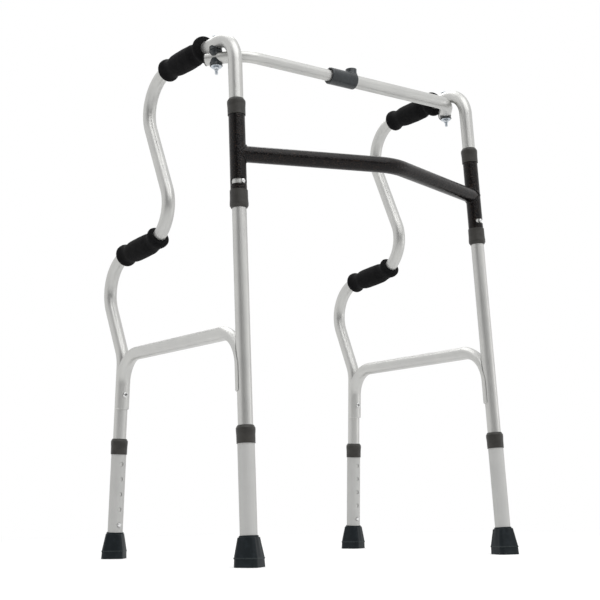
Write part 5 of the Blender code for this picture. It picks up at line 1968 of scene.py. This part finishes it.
@dataclass(frozen=True)
class Pivot:
    """Bolt stack of one pivot: dome-headed bolt, fish-mouthed spacers, washers and lock nut.

    Drops are measured below the handle tube's line.
    """

    saddle_r: float = 0.0103
    saddle_soft: float = 0.0005
    saddle_waist: float = 0.0007
    ear: float = 0.0006
    flat_drop: float = 0.0123
    foot_drop: float = 0.0388
    thrust_t: float = 0.0005
    thrust_r: float = 0.0088
    washer_r: float = 0.0090
    washer_t: float = 0.0012
    nut_af: float = 0.0085
    nut_h: float = 0.0047
    nut_skirt: tuple[float, ...] = (0.76, 0.80, 0.84)
    nut_chamfers: tuple[tuple[float, float], ...] = (
        (0.90, 0.04), (0.94, 0.10), (0.98, 0.18), (1.02, 0.30), (1.02, 0.70), (0.98, 0.82), (0.95, 0.92),
        (0.91, 1.0))
    bolt_r: float = 0.0025
    hole_r: float = 0.0028
    bolt_end_drop: float = 0.0530
    bolt_point: tuple[float, float] = (0.0007, 0.0006)
    head_r: float = 0.0048
    head_h: float = 0.0032
    pitch: float = 0.0008
    tooth: float = 0.00042
    thread_over_nut: float = 0.0010

    def height(self, drop: float) -> float:
        """Place along the bolt of a drop below the handle tube's line."""
        return -drop / math.cos(STANCE.lean)

    def hollows(self, side: Side, bar: Crossbar) -> tuple[Hollow, Hollow, Hollow]:
        """The tubes that the upper, middle and lower spacers lie against.

        Args:
            side: the side frame that the bolt is on.
            bar: the crossbar's sizes.

        Returns:
            A hollow for each spacer.
        """
        line = bar.line(side, 0.0)
        bar_way = np.linalg.inv(STANCE.pivot(side))[:3, :3] @ unit(line[-1] - line[-2])
        run = STANCE.handle_rear_u - STANCE.front_u(STANCE.handle_w)
        tube_way = unit(np.array([side.value * STANCE.handle_flare, run, 0.0]))
        tube_way = turn("X", STANCE.lean)[:3, :3] @ tube_way
        bar_cut, tube_cut = bar.radius(side) + STANCE.gap, STANCE.tube_r + STANCE.gap
        middle, tip = self.height(STANCE.bar_drop), self.saddle_r - self.ear
        bar_ear, tube_ear = math.sqrt(bar_cut ** 2 - tip ** 2), math.sqrt(tube_cut ** 2 - tip ** 2)
        return (Hollow(0.0, tube_way, tube_cut, -1.0, -tube_ear),
                Hollow(middle, bar_way, bar_cut, 1.0, middle + bar_ear),
                Hollow(middle, bar_way, bar_cut, -1.0, middle - bar_ear))

    def build(self, side: Side, bar: Crossbar) -> None:
        """Builds one stack.

        Args:
            side: the side frame that the bolt is on.
            bar: the crossbar's sizes.
        """
        word, gap, matrix = side.word, STANCE.gap, STANCE.pivot(side)
        frame_body, bar_body = f"{word}_side_frame", f"{word}_crossbar_half"
        flat, low = self.height(self.flat_drop), self.height(self.foot_drop)
        thrust_top, washer_top = flat - gap, low - gap
        nut_top = washer_top - self.washer_t - gap
        spacers = (("upper", frame_body, flat), ("middle", bar_body, thrust_top - self.thrust_t - gap),
                   ("lower", bar_body, low))
        for (place, body, end), hollow in zip(spacers, self.hollows(side, bar)):
            skin = self.saddle(matrix, end, hollow)
            stand_in(f"{word}_saddle_{place}", "spacer", SLATE_PLASTIC, body, skin)
        washers = (("thrust_washer", self.thrust_r, thrust_top, self.thrust_t, PALE_NYLON),
                   ("pivot_washer", self.washer_r, washer_top, self.washer_t, ZINC))
        for name, radius, top, thick, finish in washers:
            foot, soft = top - thick, thick * 0.2
            hole = self.hole_r
            outline = ring_profile([
                (hole, foot, soft), (radius, foot, soft), (radius, top, soft), (hole, top, soft)])
            stand_in(f"{word}_{name}", "ring", finish, frame_body, turned(outline, matrix, 64, True))
        stand_in(f"{word}_pivot_nut", "lock", ZINC, frame_body, self.nut(matrix, nut_top))
        bolt = self.bolt(matrix, nut_top - self.nut_h + self.thread_over_nut)
        stand_in(f"{word}_pivot_bolt", "threaded", ZINC, frame_body, bolt)

    def saddle(self, matrix: Array, flat: float, hollow: Hollow) -> Skin:
        """Spacer with one flat end and one hollowed end, whose outer wall draws in at mid-height.

        The wall's radius is r - waist * sin(pi * share), its height a mix of the two ends' by share.

        Args:
            matrix: the bolt's frame.
            flat: height of the flat end.
            hollow: the tube at the other end.

        Returns:
            The skin.
        """
        r, bore, soft, sign, theta = self.saddle_r, self.hole_r, self.saddle_soft, hollow.sign, angles(96)
        share = np.linspace(0.0, 1.0, 15)[:, None]
        waist = r - self.saddle_waist * np.sin(math.pi * share)
        mouth = np.linspace(r - soft, bore, 9)[:, None]
        wall = (flat - sign * soft) * (1 - share) + (hollow.surface(waist, theta) + sign * soft * 0.6) * share
        radii = np.concatenate([[[bore], [r - soft]], waist, mouth])
        heights = np.concatenate([np.full((2, len(theta)), flat), wall, hollow.surface(mouth, theta)])
        if sign > 0:
            radii, heights = radii[::-1], heights[::-1]
        local = np.stack([radii * np.cos(theta), radii * np.sin(theta), heights], axis=-1)
        return Skin(placed(matrix, local), local, closed_along=True)

    def nut(self, matrix: Array, top: float) -> Skin:
        """Lock nut: a hexagon over a round skirt, trimmed by a cone at its lower and upper ends.

        Its radius is the smaller of the hexagon's, AF / 2 / cos(angle from a flat's middle), and the
        cone's.

        Args:
            matrix: the bolt's frame.
            top: height of its upper face.

        Returns:
            The skin.
        """
        corner = self.nut_af / 2 / math.cos(math.pi / 6)
        low, collar = top - self.nut_h, top - self.nut_h * 0.72
        shares, places = np.array(self.nut_chamfers).T
        cone = np.concatenate([
            [self.hole_r], corner * np.array(self.nut_skirt), corner * shares, [self.hole_r]])
        heights = np.concatenate([
            [low, low, (low + collar) / 2, collar], collar + (top - collar) * places, [top]])

        def reach(radius: Array, z: Array, angle: Array) -> Array:
            """Radii trimmed by the six flats."""
            sixth = (angle + math.pi / 6) % (math.pi / 3) - math.pi / 6
            return np.minimum(radius, self.nut_af / 2 / np.cos(sixth))

        return turned(np.stack([cone, heights], axis=1), matrix, 96, closed=True, reach=reach)

    def bolt(self, matrix: Array, thread_top: float) -> Skin:
        """Bolt with a domed head and a helical thread below.

        The thread's radius is r - depth * |2 * frac(z / pitch + angle / 2 pi) - 1|.

        Args:
            matrix: the bolt's frame.
            thread_top: height where the thread ends.

        Returns:
            The skin.
        """
        seat, end = STANCE.tube_r + STANCE.gap, self.height(self.bolt_end_drop)
        head, h, r, (taper, point) = self.head_r, self.head_h, self.bolt_r, self.bolt_point
        thread = np.arange(end + point, thread_top, self.pitch / 8)
        upper = profile([
            (r, thread_top, 0.0), (r, seat, 0.0), (head, seat, 0.0002), (head, seat + h * 0.30, 0.0006),
            (head * 0.80, seat + h * 0.78, 0.0016), (head * 0.40, seat + h, 0.0020), (0.0, seat + h, 0.0)])
        outline = np.concatenate([
            [(0.0, end), (r - taper, end)], np.stack([np.full(len(thread), r), thread], axis=1), upper])

        def reach(radius: Array, z: Array, angle: Array) -> Array:
            """Radii with the thread's tooth, which fades in from the bolt's end.

            Args:
                radius: the outline's distances off the axis.
                z: heights.
                angle: angles about the axis.

            Returns:
                The changed distances.
            """
            part = (z / self.pitch + angle / (2 * math.pi)) % 1.0
            tooth = self.tooth * np.abs(2 * part - 1) * smoothstep(end, end + self.pitch, z)
            return np.where((z < thread_top) & (radius > r - TINY), radius - tooth, radius)

        return turned(outline, matrix, 48, reach=reach)


# Studio
@dataclass(frozen=True)
class Lamp:
    """Oblong softbox that looks at a target; its two sizes are its height and width."""

    name: str
    place: tuple[float, float, float]
    target: tuple[float, float, float]
    sizes: tuple[float, float]
    watts: float

    def build(self) -> None:
        """Adds the lamp."""
        data = bpy.data.lights.new(self.name, "AREA")
        data.shape, data.energy = "RECTANGLE", self.watts
        data.size, data.size_y = self.sizes
        place = np.array(self.place)
        stand(data, basis(place, place - np.array(self.target), UP))


@dataclass(frozen=True)
class Studio:
    """Camera, lamps, floor and pale surroundings."""

    lens: float = 71.5
    sensor: float = 36.0
    clip: tuple[float, float] = (0.01, 200.0)
    camera_place: tuple[float, float, float] = (-1.18556, -1.64525, 0.08980)
    yaw: float = math.radians(35.458)
    pitch: float = math.radians(9.618)
    roll: float = math.radians(0.824)
    lamps: tuple[Lamp, ...] = (
        Lamp("front", (-0.3, -2.0, 3.0), (0.0, 0.0, 0.45), (3.4, 3.4), 58.0),
        Lamp("back", (0.3, 1.5, 3.1), (0.0, 0.0, 0.55), (2.2, 2.2), 30.0),
        Lamp("side", (2.5, -1.75, 0.35), (0.0, 0.0, 0.40), (1.8, 0.45), 5.0))
    floor_size: float = 60.0
    floor_fade: tuple[float, float] = (0.45, 1.5)
    floor_tone: float = 0.70
    floor_glow: float = 0.38
    ambient: float = 0.62
    dim_slope: float = 0.05
    dim_range: tuple[float, float] = (0.35, 0.98)
    dimmest: float = 0.10

    def build(self) -> None:
        """Sets the whole studio up."""
        self.camera()
        self.floor()
        self.surroundings()
        for lamp in self.lamps:
            lamp.build()
        bpy.context.scene.view_settings.view_transform = "Standard"

    def camera(self) -> None:
        """Camera at the photograph's viewing angle."""
        heading = turn("Z", -self.yaw) @ turn("X", self.pitch)
        right, ahead, up = heading[:3, :3].T
        matrix = np.eye(4)
        matrix[:3, 0] = right * math.cos(self.roll) - up * math.sin(self.roll)
        matrix[:3, 1] = right * math.sin(self.roll) + up * math.cos(self.roll)
        matrix[:3, 2], matrix[:3, 3] = -ahead, self.camera_place
        data = bpy.data.cameras.new("view")
        data.lens, data.sensor_width = self.lens, self.sensor
        data.clip_start, data.clip_end = self.clip
        bpy.context.scene.camera = stand(data, matrix)

    def floor(self) -> None:
        """Wide pale floor: lit near the object, so it keeps a soft shadow, and plain white far off.

        Only rays that are seen, straight or in a reflection, meet the glow; others meet a plain
        matt floor.
        """
        half = self.floor_size / 2
        corners = [(-half, -half, 0.0), (half, -half, 0.0), (half, half, 0.0), (-half, half, 0.0)]
        mesh = bpy.data.meshes.new("studio_floor")
        mesh.from_pydata(corners, [], [(0, 1, 2, 3)])
        tree = ShaderTree(bpy.data.materials.new("studio_floor"))
        matt = tree.node("ShaderNodeBsdfDiffuse", {}, {"Color": (*[self.floor_tone] * 3, 1.0)})
        glow = tree.node("ShaderNodeEmission", {}, {"Strength": self.floor_glow})
        place = tree.node("ShaderNodeTexCoord", {}, {}, "Object")
        distance = tree.node("ShaderNodeVectorMath", {"operation": "LENGTH"}, {0: place}, "Value")
        near = tree.node("ShaderNodeAddShader", {}, {0: matt, 1: glow})
        far = tree.node("ShaderNodeEmission", {}, {})
        shown = tree.mix_shaders(distance.within(*self.floor_fade), near, far)
        seen = tree.ray("Camera").or_more(tree.ray("Glossy")).or_more(tree.ray("Transmission"))
        mesh.materials.append(tree.shown(tree.mix_shaders(seen, matt, shown)))
        floor = bpy.data.objects.new("studio_floor", mesh)
        bpy.context.scene.collection.objects.link(floor)

    def surroundings(self) -> None:
        """White to the camera; in reflections it dims behind the photographer; else a plain level."""
        world = bpy.data.worlds.new("studio")
        bpy.context.scene.world = world
        tree = ShaderTree(world)
        place = tree.node("ShaderNodeTexCoord", {}, {}, "Generated")
        behind = (-math.sin(self.yaw), -math.cos(self.yaw), self.dim_slope)
        facing = tree.node(
            "ShaderNodeVectorMath", {"operation": "DOT_PRODUCT"}, {0: place, 1: behind}, "Value")
        fade = facing.within(*self.dim_range, 1.0, self.dimmest)
        level: float | Socket = self.ambient
        for kind, value in (("Glossy", fade), ("Transmission", 1.0), ("Camera", 1.0)):
            level = tree.mix_values(tree.ray(kind), level, value)
        tree.shown(tree.node("ShaderNodeBackground", {}, {"Color": (1.0, 1.0, 1.0, 1.0), "Strength": level}))


def stand(data: bpy.types.ID, matrix: Array) -> bpy.types.Object:
    """Adds an object for a camera or lamp.

    Args:
        data: the camera or lamp.
        matrix: its placement, which looks along -z.

    Returns:
        The object.
    """
    item = bpy.data.objects.new(data.name, data)
    bpy.context.scene.collection.objects.link(item)
    item.matrix_world = Matrix(matrix.tolist())
    return item


def main() -> None:
    """Builds every sub-assembly in order."""
    logging.basicConfig(level=logging.INFO, format="%(name)s %(message)s")
    Studio().build()
    side_frame, leg_end, crossbar, pivot = SideFrame(), LegEnd(), Crossbar(), Pivot()
    for side in Side:
        side_frame.build(side)
        for end in End:
            leg_end.build(side, end)
        pivot.build(side, crossbar)
    CrossBrace().build()
    crossbar.build()


if __name__ == "__main__":
    main()
